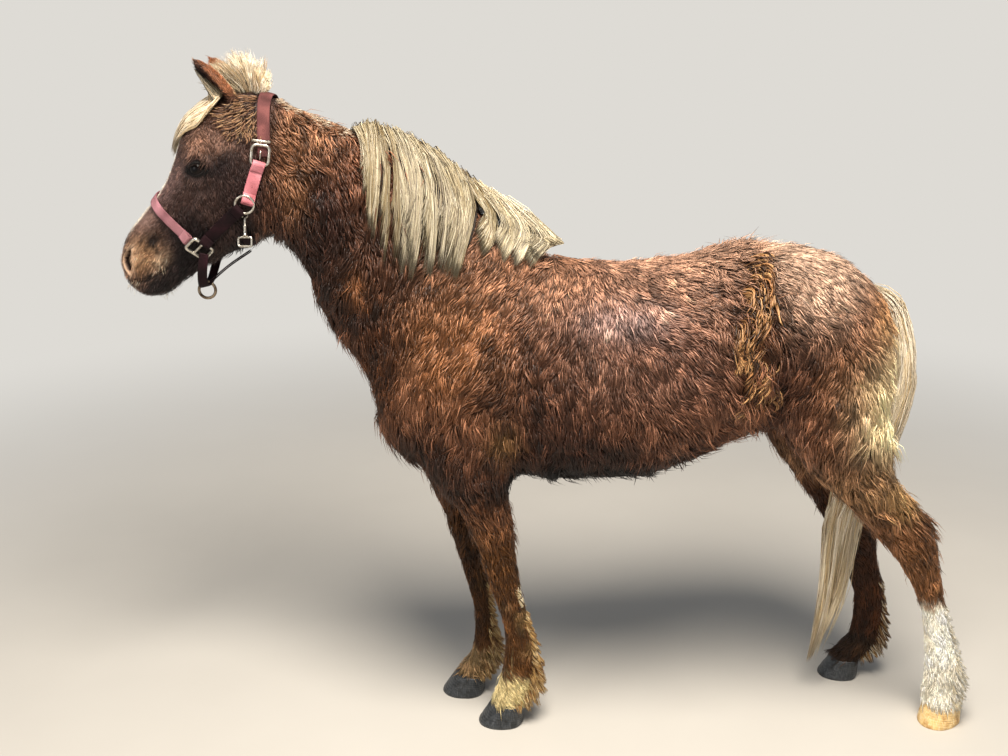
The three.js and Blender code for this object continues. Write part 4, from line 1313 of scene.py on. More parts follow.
def gathered(spine, leaders_share, strength, reach):
    """Draws each strand towards its nearest leader, so that strands hang in locks, and says which that is."""
    count, steps = spine.shape[:2]
    t = np.linspace(0, 1, steps)[None, :, None]
    nearest, far = led_by(spine[:, steps // 2], int(count * leaders_share))
    amount = strength * (far < reach)[:, None, None] * t**1.3
    return spine + amount * (spine[nearest] - spine), nearest


def picked(codes, shares, count):
    """One of the hex colours for each of many strands, as often as its share says, in linear light."""
    shades = np.array([linear(code)[:3] for code in codes])
    return shades[np.searchsorted(np.cumsum(shares), chance.random(count)).clip(0, len(codes) - 1)]


def along_strands(base, dark_root, root_power, dark_tip=0, tip_power=2):
    """Says how each strand's colour goes along it: darker at the root, and perhaps towards the tip."""

    def shaded(share):
        t = share[:, None]
        shade = 1 - dark_root * (1 - t) ** root_power - dark_tip * t**tip_power
        return np.clip(base[:, None] * shade, 0, 1)

    return shaded


def flaxen(count, nearest, dark_root):
    """Pale strands, one of the shades for each, by its leader and by chance."""
    own = picked(FLAXEN_SHADES, FLAXEN_SHARES, count)
    base = 0.55 * picked(FLAXEN_SHADES, FLAXEN_SHARES, count)[nearest] + 0.45 * own
    base = base * (1 + 0.1 * chance.normal(0, 1, count)[:, None])
    return along_strands(base, dark_root, 3, 0.12, 4)


def mixed(codes, count, dark_root):
    """Strands of several hex colours, all as often."""
    shades = np.array([linear(code)[:3] for code in codes])[chance.integers(0, len(codes), count)]
    return along_strands(shades * np.exp(0.15 * chance.normal(0, 1, (count, 1))), dark_root, 2)


def long_hair(name, spine, broad, colours, *nodes):
    """One piece of long hair from its strands' spines, in place of the nodes that are named."""
    steps = spine.shape[1]
    width = broad[:, None] * np.minimum(0.6 + 2 * np.linspace(0, 1, steps), 1.0)[None]
    middle = spine[:, steps // 2]
    facing = unit(middle - middle.mean(0) + (0, -0.2, 0.05))
    points, faces = locks(spine, width, width * 0.35, facing)
    shades = colours(along_lock(steps)[0])
    hair_piece(name, points, faces, steps, spine[:, 0], shades, "flaxen_hair", flaxen_paint, *nodes)


def along_line(line, t):
    """The places at shares t along a list of points, evenly from point to point."""
    line = np.array(line)
    place = np.clip(t, 0, 1) * (len(line) - 1)
    first = np.minimum(place.astype(int), len(line) - 2)
    share = (place - first)[..., None]
    return line[first] * (1 - share) + line[first + 1] * share


# %% [markdown]
# The mane grows from the crest of the neck and falls to the near side. It hangs in locks: strands that grow
# near one another come together in one ragged point, and dark gaps open between the locks lower down. The
# front locks hang straight down, and those towards the withers sweep back over them. Each strand stands up
# off the crest, as high as the mane's solid does, turns over, and then lies on the neck. The strands grow
# darker towards their tips, which is painted shade on the lower mane, and the rear locks are painted paler,
# which is painted light. Shorter hair lies under it, painted dark, which is painted shade in the gaps between
# the locks, and a little of it falls to the off side.

# %% Mane
MANE_LOCKS = 36
REAR_LOCKS = 8
MANE_STRANDS = 2500
UNDER_STRANDS = 500
OFF_STRANDS = 260
CREST_FRONT = -0.418
CREST_REAR = -0.095
MANE_SHADES = ["#bbae90", "#d6ccb4", "#9c8f70", "#82704f", "#5a4936"]
MANE_SHARES = [0.30, 0.20, 0.24, 0.16, 0.10]
# where the locks end, in the side view (x, z), from the front lock to the rear one
MANE_TIPS = [
    (-0.385, 1.170),
    (-0.370, 1.050),
    (-0.308, 1.012),
    (-0.256, 1.008),
    (-0.214, 1.008),
    (-0.206, 1.000),
    (-0.150, 1.040),
    (-0.078, 1.012),
    (-0.038, 1.042),
    (-0.020, 1.060),
]
# the hair under the mane is painted dark: painted shade in the gaps between the locks
UNDER_HAIR_IN_SHADE = "#38291b"
# how far the hair swings back over the neck before it falls, from the front lock to the rear one, in metres
SWING_AT = [0, 0.2, 0.5, 0.6, 0.8, 1]
SWING_BACK = [0.002, 0.006, 0.014, 0.020, 0.020, 0.010]
# a strand's way: places along it, and there its rise, its fall, its lean to the tip and its step aside
HANG = np.array([0, 0.05, 0.12, 0.22, 0.36, 0.52, 0.68, 0.84, 1])
HANG_RISE = np.array([0, 0.75, 1, 0.6, 0.12, 0, 0, 0, 0])
HANG_FALL = np.array([0, 0, 0.01, 0.06, 0.20, 0.40, 0.61, 0.81, 1])
HANG_LEAN = np.array([0, 0.10, 0.32, 0.66, 0.98, 1.14, 1.18, 1.11, 1])
HANG_ASIDE = np.array([0, 0.1, 0.45, 0.85, 1, 1, 1, 1, 1])


def height_on(tree, x, y):
    """Height of a surface at places seen from above, or 0 where it isn't met."""
    hits = [tree.ray_cast(Vector((a, b, 2.0)), Vector((0, 0, -1)))[0] for a, b in zip(x, y)]
    return np.array([hit.z if hit else 0.0 for hit in hits])


skin_tree = ray_tree(skin_points, skin_triangles)
mane_tree = ray_tree(*solid_of("mane"))
CREST_X = np.linspace(CREST_FRONT, CREST_REAR, 60)
CREST_Z = height_on(skin_tree, CREST_X, 0 * CREST_X)
tops = [height_on(mane_tree, CREST_X, 0 * CREST_X + y) for y in (-0.03, -0.018, -0.006, 0.006)]
MANE_TOP = np.maximum(np.maximum.reduce(tops), CREST_Z + 0.016)
print("the mane stands", round(float((MANE_TOP - CREST_Z).mean() / MM)), "mm over the skin of the crest")


def side_of_body(x, z, side):
    """Distance of the coat's surface from the middle plane on one side, or 0 above the body."""
    hits = [envelope.ray_cast(Vector((a, side * 0.5, b)), Vector((0, -side, 0)))[0] for a, b in zip(x, z)]
    return np.array([abs(hit.y) if hit and hit.y * side > -0.01 else 0.0 for hit in hits])


def mane_strands(count, side, shares, layers, reach_share):
    """Spines of strands that hang in locks on one side, and the lock that each belongs to."""
    share = chance.uniform(*shares, count)
    front_locks = chance.uniform(-0.01, 0.62, MANE_LOCKS - REAR_LOCKS)
    lock_share = np.concatenate([front_locks, np.linspace(0.66, 0.99, REAR_LOCKS)])
    lock = np.abs(share[:, None] - lock_share[None]).argmin(1)
    lock_size = chance.uniform(0.88, 1.04, MANE_LOCKS) * np.where(chance.random(MANE_LOCKS) < 0.2, 0.85, 1.0)
    lock_layer = chance.uniform(*layers, MANE_LOCKS)
    lock_tip = along_line(MANE_TIPS, lock_share + chance.normal(0, 0.012, MANE_LOCKS))
    lock_swing = chance.uniform(0, 6, MANE_LOCKS)
    x = CREST_FRONT + (CREST_REAR - CREST_FRONT) * share + chance.normal(0, 0.003, count)
    crest = np.interp(x, CREST_X, CREST_Z) - 0.003
    rise = np.interp(x, CREST_X, MANE_TOP) - crest - 0.003 - 0.020 * chance.random(count) ** 1.5
    rise = rise * (0.45 + 0.55 * between(share, 0.0, 0.10)) + 0.008 * (chance.random(count) < 0.06)
    root_y = chance.uniform(-0.014, 0.016, count)
    own_tip = along_line(MANE_TIPS, share)
    t = HANG[None, :, None]
    together = 0.95 * between(t, 0.05, 0.62)
    tip = own_tip[:, None] * (1 - together) + lock_tip[lock][:, None] * together
    size = lock_size[lock] * (1.04 - 0.50 * chance.random(count) ** 1.5) * reach_share
    root = np.stack([x, crest], 1)
    fall = HANG_FALL[None, :, None] * size[:, None, None]
    lean = HANG_LEAN[None, :, None] * (0.4 + 0.6 * size[:, None, None])
    flat = root[:, None] + (tip - root[:, None]) * np.concatenate([lean, fall], 2)
    flat[:, :, 1] += rise[:, None] * HANG_RISE
    back = np.interp(share, SWING_AT, SWING_BACK) * chance.uniform(0.75, 1.25, count)
    flat[:, :, 0] += back[:, None] * np.sin(math.pi * HANG**0.75)
    swing = np.sin(5 * t[:, :, 0] + lock_swing[lock][:, None]) + 0.4 * chance.normal(0, 1, (count, 1))
    flat[:, :, 0] += 0.0045 * swing * t[:, :, 0] + 0.0018 * chance.normal(0, 1, (count, 1)) * t[:, :, 0]
    body = side_of_body(flat[:, :, 0].ravel(), flat[:, :, 1].ravel(), side).reshape(count, len(HANG))
    body = np.maximum.accumulate(body, axis=1)
    layer = (lock_layer[lock] + chance.uniform(0, 0.005, count))[:, None] * (1.15 - 0.3 * t[:, :, 0])
    aside = HANG_ASIDE[None]
    y = root_y[:, None] * (1 - aside) + side * np.maximum(body + layer, 0.012) * aside
    return np.stack([flat[:, :, 0], y, flat[:, :, 1]], 2), lock


spine, lock = mane_strands(MANE_STRANDS, NEAR, (0.0, 1.0), (0.003, 0.013), 1.0)
under, _ = mane_strands(UNDER_STRANDS, NEAR, (0.0, 0.72), (0.000, 0.002), 0.78)
far_side, far_lock = mane_strands(OFF_STRANDS, OFF, (0.02, 0.95), (0.002, 0.008), 0.3)
lock_shade = picked(MANE_SHADES, MANE_SHARES, MANE_LOCKS)
strand_tone = np.exp(0.25 * chance.normal(0, 1, MANE_STRANDS))[:, None]
own_shade = picked(MANE_SHADES, MANE_SHARES, MANE_STRANDS)
top_colour = (0.35 * lock_shade[lock] + 0.65 * own_shade) * strand_tone
# painted light: the rear locks are painted a quarter paler
top_colour = top_colour * np.where(lock >= MANE_LOCKS - REAR_LOCKS, 1.25, 1.0)[:, None]
# the under hair's dark paint is painted shade
under_colour = plain(UNDER_HAIR_IN_SHADE, UNDER_STRANDS) * chance.uniform(0.6, 1.3, (UNDER_STRANDS, 1))
mane_colour = np.concatenate([top_colour, under_colour, lock_shade[far_lock] * 0.8])
spine = np.concatenate([spine, under, far_side])
wave = np.stack([noise(spine.reshape(-1, 3), 0.05, k) for k in (31, 32, 33)], 1)
spine += 0.002 * wave.reshape(spine.shape)
broad = chance.uniform(0.9, 2.1, len(spine)) * MM
# the strands darken towards their tips: painted shade on the lower mane
long_hair("mane_hair", spine, broad, along_strands(mane_colour, 0.40, 4, 0.40), "mane")

# %% [markdown]
# In front of the mane the crest carries very short pale hair, where the halter's crown has worn the mane
# away. Between the ears the hair grows up into a soft brush, whose strands fan out and end at many heights.
# The forelock falls forward from the same place: its strands stand off the forehead in the middle and drape
# over its sides.

# %% Crest, brush and forelock
def ragged(spine, size, seed):
    """Adds a small wave to strands, which grows towards their tips."""
    steps = spine.shape[1]
    t = np.linspace(0, 1, steps)[None, :, None]
    wave = np.stack([noise(spine.reshape(-1, 3), 0.03, seed + k) for k in range(3)], 1)
    return spine + size * t * wave.reshape(spine.shape)


def rising(roots, ways, length, bend, steps):
    """Spines that leave their roots along a way and bend by so much towards their tips."""
    t = np.linspace(0, 1, steps)[None, :, None]
    reach = length[:, None, None]
    return roots[:, None] + reach * (t * ways[:, None] + t * t * bend[:, None])


CREST_HAIRS = 1100
CREST_SHADES = ["#cdb79f", "#b39a80", "#e0cfb8", "#8f6f55"]
count = CREST_HAIRS
x = chance.uniform(-0.566, -0.385, count)
y = chance.normal(0, 0.007, count)
roots = np.stack([x, y, height_on(skin_tree, x, y) - 0.001], 1)
ways = unit(np.stack([np.full(count, 0.7), 40 * y + chance.normal(-0.1, 0.3, count), np.full(count, 0.9)], 1))
bend = np.stack([np.full(count, 0.4), chance.normal(0, 0.2, count), np.full(count, -0.6)], 1)
spine = rising(roots, ways, chance.uniform(0.011, 0.018, count), bend, 4)
broad = chance.uniform(0.8, 1.5, count) * MM
long_hair("crest_hair", spine, broad, mixed(CREST_SHADES, count, 0.4))

BRUSH_STRANDS = 1400
BRUSH_MIDDLE = -0.614
BRUSH_HEIGHT = 0.096
count = BRUSH_STRANDS
lean = chance.uniform(-1, 1, count)
aside = chance.uniform(-1, 1, count) * np.sqrt(1 - 0.6 * lean**2)
x = BRUSH_MIDDLE + 0.022 * lean + chance.normal(0, 0.003, count)
y = 0.017 * aside
roots = np.stack([x, y, height_on(skin_tree, x, y) - 0.002], 1)
size = BRUSH_HEIGHT * (1 - (0.42 + 0.14 * (lean > 0)) * np.abs(lean) ** 1.5 - 0.12 * aside**2)
size = size * (1 - 0.5 * chance.random(count) ** 1.5)
size = np.where(chance.random(count) < 0.05, size * 1.12, size)
slant = np.radians(np.where(lean < 0, 62, 40) * lean - 5 + chance.normal(0, 7, count))
ways = unit(np.stack([np.sin(slant) * 0.75, 0.30 * aside + chance.normal(0, 0.05, count), np.cos(slant)], 1))
bend = np.stack([0.30 * np.sin(slant) - 0.10, 0.10 * aside, -0.10 * np.abs(np.sin(slant))], 1)
spine = rising(roots, ways, size, bend, 6)
spine, nearest = gathered(ragged(spine, 0.008, 41), 0.06, 0.5, 0.02)
broad = chance.uniform(0.7, 1.5, count) * MM
long_hair("poll_brush_hair", spine, broad, flaxen(count, nearest, 0.55), "poll_brush")

# the forelock's outer line in the head's frame (u, v), from the poll down the forehead
FORELOCK_LINE = [(6, 42), (24, 75), (55, 92), (92, 97), (130, 92), (165, 82), (200, 71)]
# and how wide it hangs to each side, at these places down the forehead
FORELOCK_AT = [0, 25, 60, 100, 150, 200]
FORELOCK_WIDE = [18, 56, 78, 76, 58, 24]
FORELOCK_STRANDS = 900
count = FORELOCK_STRANDS
steps = 8
aside = chance.uniform(-1, 1, count)[:, None]
t = np.linspace(0, 1, steps)[None, :]
end = chance.uniform(0.66, 1.0, count)[:, None] * (1 - 0.14 * np.abs(aside))
line = along_line(FORELOCK_LINE, 0.02 + t * end)
u = line[:, :, 0] + chance.uniform(-5, 8, count)[:, None] * (1 - t)
sideways = aside * np.interp(u, FORELOCK_AT, FORELOCK_WIDE)
sideways = sideways + 2.5 * np.sin(4 * t + 9 * aside) * t
starts = from_head(u, 0 * u, sideways) + 0.3 * FRONT
hits = [envelope.ray_cast(Vector(place), Vector(-FRONT))[0] for place in starts.reshape(-1, 3)]
rest = np.array([(np.array(hit) - POLL) @ FRONT / MM if hit else 50.0 for hit in hits])
rest = np.maximum(rest.reshape(count, steps), 56)
depth = (30 * chance.random(count) ** 1.6)[:, None]
free = line[:, :, 1] - depth - 46 * np.abs(aside) ** 1.6
layer = chance.uniform(4.0, 10.0, count)[:, None]
leaving = between(t, -0.05, 0.12)
v = np.maximum(free * leaving + rest * (1 - leaving), rest + layer)
spine, nearest = gathered(ragged(from_head(u, v, sideways), 0.003, 51), 0.10, 0.3, 0.03)
broad = chance.uniform(1.0, 2.0, count) * MM
long_hair("forelock_hair", spine, broad, flaxen(count, nearest, 0.3), "forelock")

# %% [markdown]
# Round the roots of the ears and on the temples the winter coat is longer and stands in small curls and
# waves, paler at their ends, and on the flank the coat that is being shed hangs in a row of curls. They are
# locks like the coat's, with more steps, so that each can turn from side to side.

# %% Curls
EAR_SHADES = ["#8f6a4c", "#6b4a35", "#3f2a20", "#ab8863"]
BROW_SHADES = ["#a9836f", "#6b4a3e", "#a58070", "#3f2a25"]
FLANK_SHADES = ["#9a6c42", "#6a482a", "#b58a5c", "#35200f"]
# place and reach in the side view, spacing and length in millimetres, wave, how far it stands, width, colours
HEAD_CURLS = {
    "ear_curls": ((26, 12), (44, 40), 3.6, 21, 0.26, 0.6, 1.5, EAR_SHADES),
    "brow_waves": ((118, 38), (34, 17), 4.6, 15, 0.2, 0.25, 1.2, BROW_SHADES),
}
FLANK_CURLS = (5.0, 42, 0.34, 0.85, 3.2, FLANK_SHADES)
FLANK_PLACE = (0.360, 0.900)
FLANK_REACH = (0.030, 0.130)
CURL_STEPS = 7


def within(places, middle, reach):
    """Which places in the side view lie in an oval."""
    return sum(((p - m) / r) ** 2 for p, m, r in zip(places, middle, reach)) < 1


def curls(name, allowed, spacing, length, wave, stand, thick, codes):
    """Curled locks on the allowed triangles of the skin."""
    roots, normals = scattered(skin_points, skin_triangles, spacing * MM, allowed)
    clear = ~under_strap(roots, normals)
    roots, normals = roots[clear], normals[clear]
    way = lie_of(roots, normals)[0]
    across = np.cross(normals, way)
    count = len(roots)
    t = np.linspace(0, 1, CURL_STEPS)[None, :, None]
    size = (length * MM * chance.uniform(0.7, 1.25, count))[:, None, None]
    turn = 2.5 * noise(roots, 1.2 * length * MM, 93)[:, None, None] + 3.6 * t
    spine = roots[:, None] + size * (t * way[:, None] + stand * (1.4 * t - 0.9 * t * t) * normals[:, None])
    spine = spine + size * wave * (np.sin(turn) - np.sin(turn[:, :1])) * across[:, None]
    combed_flat(spine)
    broad = chance.uniform(0.7, 1.3, count) * thick * MM
    long_hair(name, spine, broad, mixed(codes, count, 0.6))


u, v, s = in_head(centre)
temple = (s > 26) & (head_share(centre) > 0.5) & (ear_share(centre) < 0.3)
temple &= ~bare & (in_eye(u, v)[2] > 2.6)
for name, (place, reach, *facts) in HEAD_CURLS.items():
    curls(name, within((u, v), place, reach) & temple, *facts)
x, y, z = centre.T
curls("flank_curls", within((x, z), FLANK_PLACE, FLANK_REACH) & (z > 0.6), *FLANK_CURLS)

# %% [markdown]
# The tail leaves the croup at the dock, falls behind the thighs and is blown forward between the hind legs,
# where it thins out to a few strands. Stations along it give its outer and inner edge, its half width and
# how far it is from the middle plane, and each strand keeps its own place in that outline on its way down.

# %% Tail
# outer edge (x, z), inner edge (x, z), and half width and distance from the middle, in metres
TAIL_STATIONS = [
    ((0.636, 0.992), (0.628, 0.958), (0.016, 0.0)),
    ((0.680, 0.976), (0.654, 0.928), (0.022, 0.0)),
    ((0.712, 0.938), (0.678, 0.904), (0.030, 0.0)),
    ((0.735, 0.884), (0.678, 0.866), (0.036, 0.0)),
    ((0.748, 0.824), (0.686, 0.815), (0.040, 0.0)),
    ((0.752, 0.764), (0.684, 0.756), (0.039, 0.0)),
    ((0.743, 0.697), (0.677, 0.702), (0.034, 0.001)),
    ((0.727, 0.629), (0.656, 0.648), (0.028, 0.003)),
    ((0.705, 0.565), (0.628, 0.592), (0.025, 0.006)),
    ((0.680, 0.505), (0.594, 0.535), (0.023, 0.009)),
    ((0.660, 0.440), (0.581, 0.455), (0.022, 0.013)),
    ((0.655, 0.370), (0.578, 0.378), (0.021, 0.016)),
    ((0.654, 0.310), (0.581, 0.310), (0.018, 0.018)),
    ((0.643, 0.255), (0.580, 0.250), (0.014, 0.020)),
    ((0.620, 0.195), (0.577, 0.190), (0.010, 0.020)),
    ((0.592, 0.125), (0.572, 0.120), (0.006, 0.020)),
    ((0.576, 0.080), (0.570, 0.078), (0.003, 0.020)),
]
TAIL_STRANDS = 2600
count = TAIL_STRANDS
steps = 9
start = 0.02 + 0.20 * chance.random(count) ** 1.3
end = np.where(chance.random(count) < 0.35, chance.uniform(0.35, 0.7, count), chance.uniform(0.7, 1.0, count))
t = start[:, None] + (end - start)[:, None] * np.linspace(0, 1, steps)[None]
outer, inner, half = (along_line(part, t) for part in zip(*TAIL_STATIONS))
turn = chance.uniform(0, 2 * math.pi, count)[:, None]
out = (0.35 + 0.62 * np.sqrt(chance.random(count)))[:, None]
spread = 0.35 + 0.65 * between(np.linspace(0, 1, steps)[None], 0, 0.25)
across = 0.5 + 0.49 * out * np.cos(turn) * spread
flat = inner + (outer - inner) * across[..., None]
y = half[..., 1] + half[..., 0] * out * np.sin(turn) * spread
spine = np.stack([flat[..., 0], y, flat[..., 1]], 2)
spine, nearest = gathered(ragged(spine, 0.006, 61), 0.05, 0.6, 0.03)
stray = chance.random(count) < 0.10
drift = np.stack([chance.uniform(-0.004, 0.016, count), chance.normal(0, 0.006, count), np.zeros(count)], 1)
spine = spine + stray[:, None, None] * drift[:, None] * np.linspace(0, 1, steps)[None, :, None]
broad = chance.uniform(1.2, 2.7, count) * MM
long_hair("tail_hair", spine, broad, flaxen(count, nearest, 0.12), "tail")

# %% [markdown]
# Feather is the longer hair at the back of the legs. On this pony it runs from below the knee to the heel:
# golden on the fore legs, with a white tuft behind the near knee, and white on the sock. It starts short,
# grows longer towards the fetlock, and hangs in curved locks that come together.

# %% Feather
# side, fore or hind, from which height to which, longest hair, colours
FEATHERS = {
    "near_fore": (NEAR, (0.055, 0.27), 34, ["#c59f63", "#dcc394", "#8a6238", "#b08b55"]),
    "off_fore": (OFF, (0.055, 0.26), 34, ["#a98552", "#6d4b2c", "#c6ad7c"]),
    "near_hind": (NEAR, (0.050, 0.29), 34, ["#f4eedf", "#e2d4b4", "#fbf7ec"]),
    "off_hind": (OFF, (0.050, 0.25), 32, ["#6d4b2c", "#a8824e", "#3a2413", "#e4d8bd"]),
}
KNEE_TUFT = (NEAR, (0.29, 0.345), 20, ["#efe3c8", "#d9c394"])
FEATHER_SPACING = 3.5 * MM
FEATHER_HEIGHTS = [0.05, 0.075, 0.10, 0.13, 0.18, 0.35]
FEATHER_GROWTH = [0.45, 0.8, 1.0, 0.8, 0.5, 0.45]
facing_of = unit(skin_normals[skin_triangles].mean(1))


def feather(name, side, heights, longest, codes, fore):
    """Long hair on the back of one leg between two heights."""
    x, y, z = centre.T
    on_leg = (y * side > 0) & (z > heights[0]) & (z < heights[1]) & ((x < 0.2) == fore)
    behind = facing_of[:, 0] > 0.25 + 0.35 * between(z, 0.12, 0.2)
    roots, normals = scattered(skin_points, skin_triangles, FEATHER_SPACING, on_leg & behind)
    count = len(roots)
    growth = np.interp(roots[:, 2], FEATHER_HEIGHTS, FEATHER_GROWTH)
    length = longest * MM * growth * chance.uniform(0.65, 1.15, count)
    back = np.array([1.0, 0.0, 0.0])
    ways = unit(0.42 * normals + 0.18 * back - 0.85 * UP + chance.normal(0, 0.08, (count, 3)))
    bend = 0.22 * normals - 0.12 * UP + chance.normal(0, 0.08, (count, 3))
    spine = ragged(rising(roots, ways, length, bend, 5), 0.003, 71)
    spine[..., 2] = np.maximum(spine[..., 2], 0.010)
    spine, _ = gathered(spine, 0.07, 0.7, 0.02)
    broad = chance.uniform(0.8, 1.5, count) * MM
    long_hair(name, spine, broad, mixed(codes, count, 0.35))


for leg, facts in FEATHERS.items():
    feather("feather_" + leg, *facts, leg.endswith("fore"))
feather("knee_tuft", *KNEE_TUFT, True)

# %% [markdown]
# Whiskers are single stiff hairs on the lips, the chin and the cheek, and short dark lashes stand over the
# eye along the edge of the upper lid. Real ones are a fifth of a millimetre thick, and are drawn at half a
# millimetre.

# %% Whiskers and lashes
# place in the head's frame (u, v, distance from the middle), spread, number, way (u, v, aside), length
WHISKERS = [
    ((425, -74, 16), (34, 5, 14), 7, (0.35, -0.9, 0.25), (9, 20)),
    ((440, -10, 36), (14, 14, 6), 14, (0.6, -0.2, 0.8), (14, 30)),
    ((384, -28, 52), (16, 14, 4), 12, (0.2, -0.4, 0.9), (14, 26)),
]
WHISKER_SHADES = ["#6b5844", "#b7a68c", "#cfc4b0"]
LASHES = 34
LASH_RADIUS = 20.2
spines = []
for place, spread, number, (way_u, way_v, way_s), (short, long) in WHISKERS:
    for side in SIDES.values():
        u, v, s = (chance.normal(0, 0.5, (number, 3)) * spread + place).T
        roots = np.array([skin_tree.find_nearest(Vector(p))[0] for p in from_head(u, v, side * s)])
        way = way_u * ALONG + way_v * FRONT + side * way_s * SIDEWAYS
        ways = unit(way + chance.normal(0, 0.25, (number, 3)))
        length = chance.uniform(short, long, number) * MM
        spines.append(rising(roots, ways, length, np.tile((0.0, 0.0, -0.25), (number, 1)), 5))
spine = np.concatenate(spines)
long_hair("whiskers", spine, np.full(len(spine), 0.5 * MM), mixed(WHISKER_SHADES, len(spine), 0.1))

spines = []
for side in SIDES.values():
    along = np.linspace(-13, 12, LASHES) + chance.normal(0, 0.4, LASHES)
    lid_up = OPENING_UP * np.sqrt(1 - (along / OPENING_LONG) ** 2) + 0.8 - 0.10 * along
    u = EYE[0] + along * math.cos(EYE_TURN) - lid_up * math.sin(EYE_TURN)
    v = EYE[1] + along * math.sin(EYE_TURN) + lid_up * math.cos(EYE_TURN)
    s = EYE_ASIDE + np.sqrt(np.maximum(LASH_RADIUS**2 - (u - EYE[0]) ** 2 - (v - EYE[1]) ** 2, 20))
    spread = (along / OPENING_LONG)[:, None] * (math.cos(EYE_TURN) * ALONG + math.sin(EYE_TURN) * FRONT)
    ways = unit(side * 0.9 * SIDEWAYS - 0.35 * UP + 0.5 * spread)
    length = chance.uniform(7, 11, LASHES) * MM
    bend = np.tile((0.0, 0.0, 0.15), (LASHES, 1))
    spines.append(rising(from_head(u, v, side * s), ways, length, bend, 5))
spine = np.concatenate(spines)
long_hair("lashes", spine, np.full(len(spine), 0.6 * MM), mixed(["#1a110d"], len(spine), 0))

# %% [markdown]
# A pony's eye is a large dark ball under a clear domed cornea. Its iris is deep brown, and its pupil a wide
# oval that lies level. The cornea is so clear and the inside so dark that the ball looks black and wet, and
# here it lies in the shade of the brow. So it is one glossy solid, whose colours are painted. Its mesh is a
# tube of rings closed by two tips, which a few small functions give the faces of, and the hooves use them
# too.

# %% Faces of a tube
def tube(rings, sectors, closed=False):
    """Quads between rings of points, and from the last ring back to the first if it is closed."""
    index = np.arange(rings * sectors).reshape(rings, sectors)
    after = np.roll(index, -1, axis=1)
    quads = np.stack([index, np.roll(index, -1, 0), np.roll(after, -1, 0), after], -1)
    return (quads if closed else quads[:-1]).reshape(-1, 4)


def spokes(tip, ring):
    """Triangles from a tip to a ring of points."""
    return np.stack([np.full(len(ring), tip), ring, np.roll(ring, -1)], 1)


def lid(ring):
    """Triangles that close a ring of points."""
    return np.stack([np.full(len(ring) - 2, ring[0]), ring[1:-1], ring[2:]], 1)


def inside_out(faces):
    """The same faces, seen from the other side."""
    return np.concatenate([faces[:, :1], faces[:, :0:-1]], 1)


def tipped_tube(rings, sectors):
    """A tube whose points are followed by a tip before its first ring and one after its last."""
    ring = np.arange(sectors)
    end = rings * sectors
    return [tube(rings, sectors), spokes(end, ring), inside_out(spokes(end + 1, ring + end - sectors))]


# %% Eyes
EYE_RADIUS = 18
CORNEA_RISE = 1.3
CORNEA_REACH = 12
IRIS_REACH = 14.5
PUPIL_REACH = (6.2, 3.4)
EYE_FORWARD = 0.22
EYE_RINGS = 71
EYE_SECTORS = 96
EYE_GLOSS = {"Roughness": 0.2, "Specular_IOR_Level": 0.05, "Coat_Weight": 0.2, "Coat_Roughness": 0.02}

eye_paint, tree = material("wet_dark_eye")
tint, _ = streaked(tree, 600.0, 3.0, 0.75, 1.3, "Generated")
show(tree, add(tree, "BsdfPrincipled", Base_Color=tint, **EYE_GLOSS))
polar = np.linspace(0, math.pi, EYE_RINGS + 2)[1:-1]
turn = np.arange(EYE_SECTORS) * 2 * math.pi / EYE_SECTORS
polar, turn = np.meshgrid(polar, turn, indexing="ij")
aside = EYE_RADIUS * np.sin(polar)
bulge = CORNEA_RISE * np.sqrt(np.maximum(1 - (aside / CORNEA_REACH) ** 2, 0)) * (polar < 1.2)
radius = EYE_RADIUS + bulge
flat_x = np.sin(polar) * np.cos(turn)
flat_y = np.sin(polar) * np.sin(turn)
for name, side in SIDES.items():
    low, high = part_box(name + "_eye")
    axis = unit(np.array([-EYE_FORWARD, side, 0.06]))
    level = unit(np.cross(axis, UP))
    upright = np.cross(level, axis)
    grid = flat_x[..., None] * level + flat_y[..., None] * upright + np.cos(polar)[..., None] * axis
    grid = grid * radius[..., None]
    ball = np.concatenate([grid.reshape(-1, 3), [axis * (EYE_RADIUS + CORNEA_RISE)], [-axis * EYE_RADIUS]])
    points = np.array((low + high) / 2) + ball * MM
    eye = build(name + "_eyeball", points, tipped_tube(EYE_RINGS, EYE_SECTORS))
    place = ball @ level, ball @ upright
    pupil = np.hypot(place[0] / PUPIL_REACH[0], place[1] / PUPIL_REACH[1])
    iris = np.hypot(*place) / IRIS_REACH
    colours = blended(plain("#0c0605", len(ball)), "#100907", between(-iris, -1.0, -0.93))
    colours = blended(colours, "#080403", between(-iris, -0.62, -0.4))
    paint(eye, blended(colours, "#040305", between(-pupil, -1.08, -0.95)))
    dressed(eye, eye_paint, "eye", name + "_eye")
print("eyes: two, of radius", EYE_RADIUS, "mm")

# %% [markdown]
# A hoof is a wall of horn that grows down from the coronet, so it carries rings that run round it, closer
# together at the heel, and fine lines that run down it, with scratches and dried mud. The rings and the
# outline are one fine mesh: the frame's solid is measured by rays at many heights, its corners are rounded
# off, and the rings are laid on.

# %% Hooves
HOOF_ROWS = 40
HOOF_SECTORS = 96
HOOF_TURN = np.arange(HOOF_SECTORS) * 2 * math.pi / HOOF_SECTORS
HOOF_WAYS = np.stack([np.cos(HOOF_TURN), np.sin(HOOF_TURN), np.zeros(HOOF_SECTORS)], 1)
RING_STEP = 5.2
FINE_STEP = 2.3
DARK_HORN = ["#24282c", "#5d6063", "#121416"]
PALE_HORN = ["#e0bd7c", "#f6e8c4", "#b98f55"]


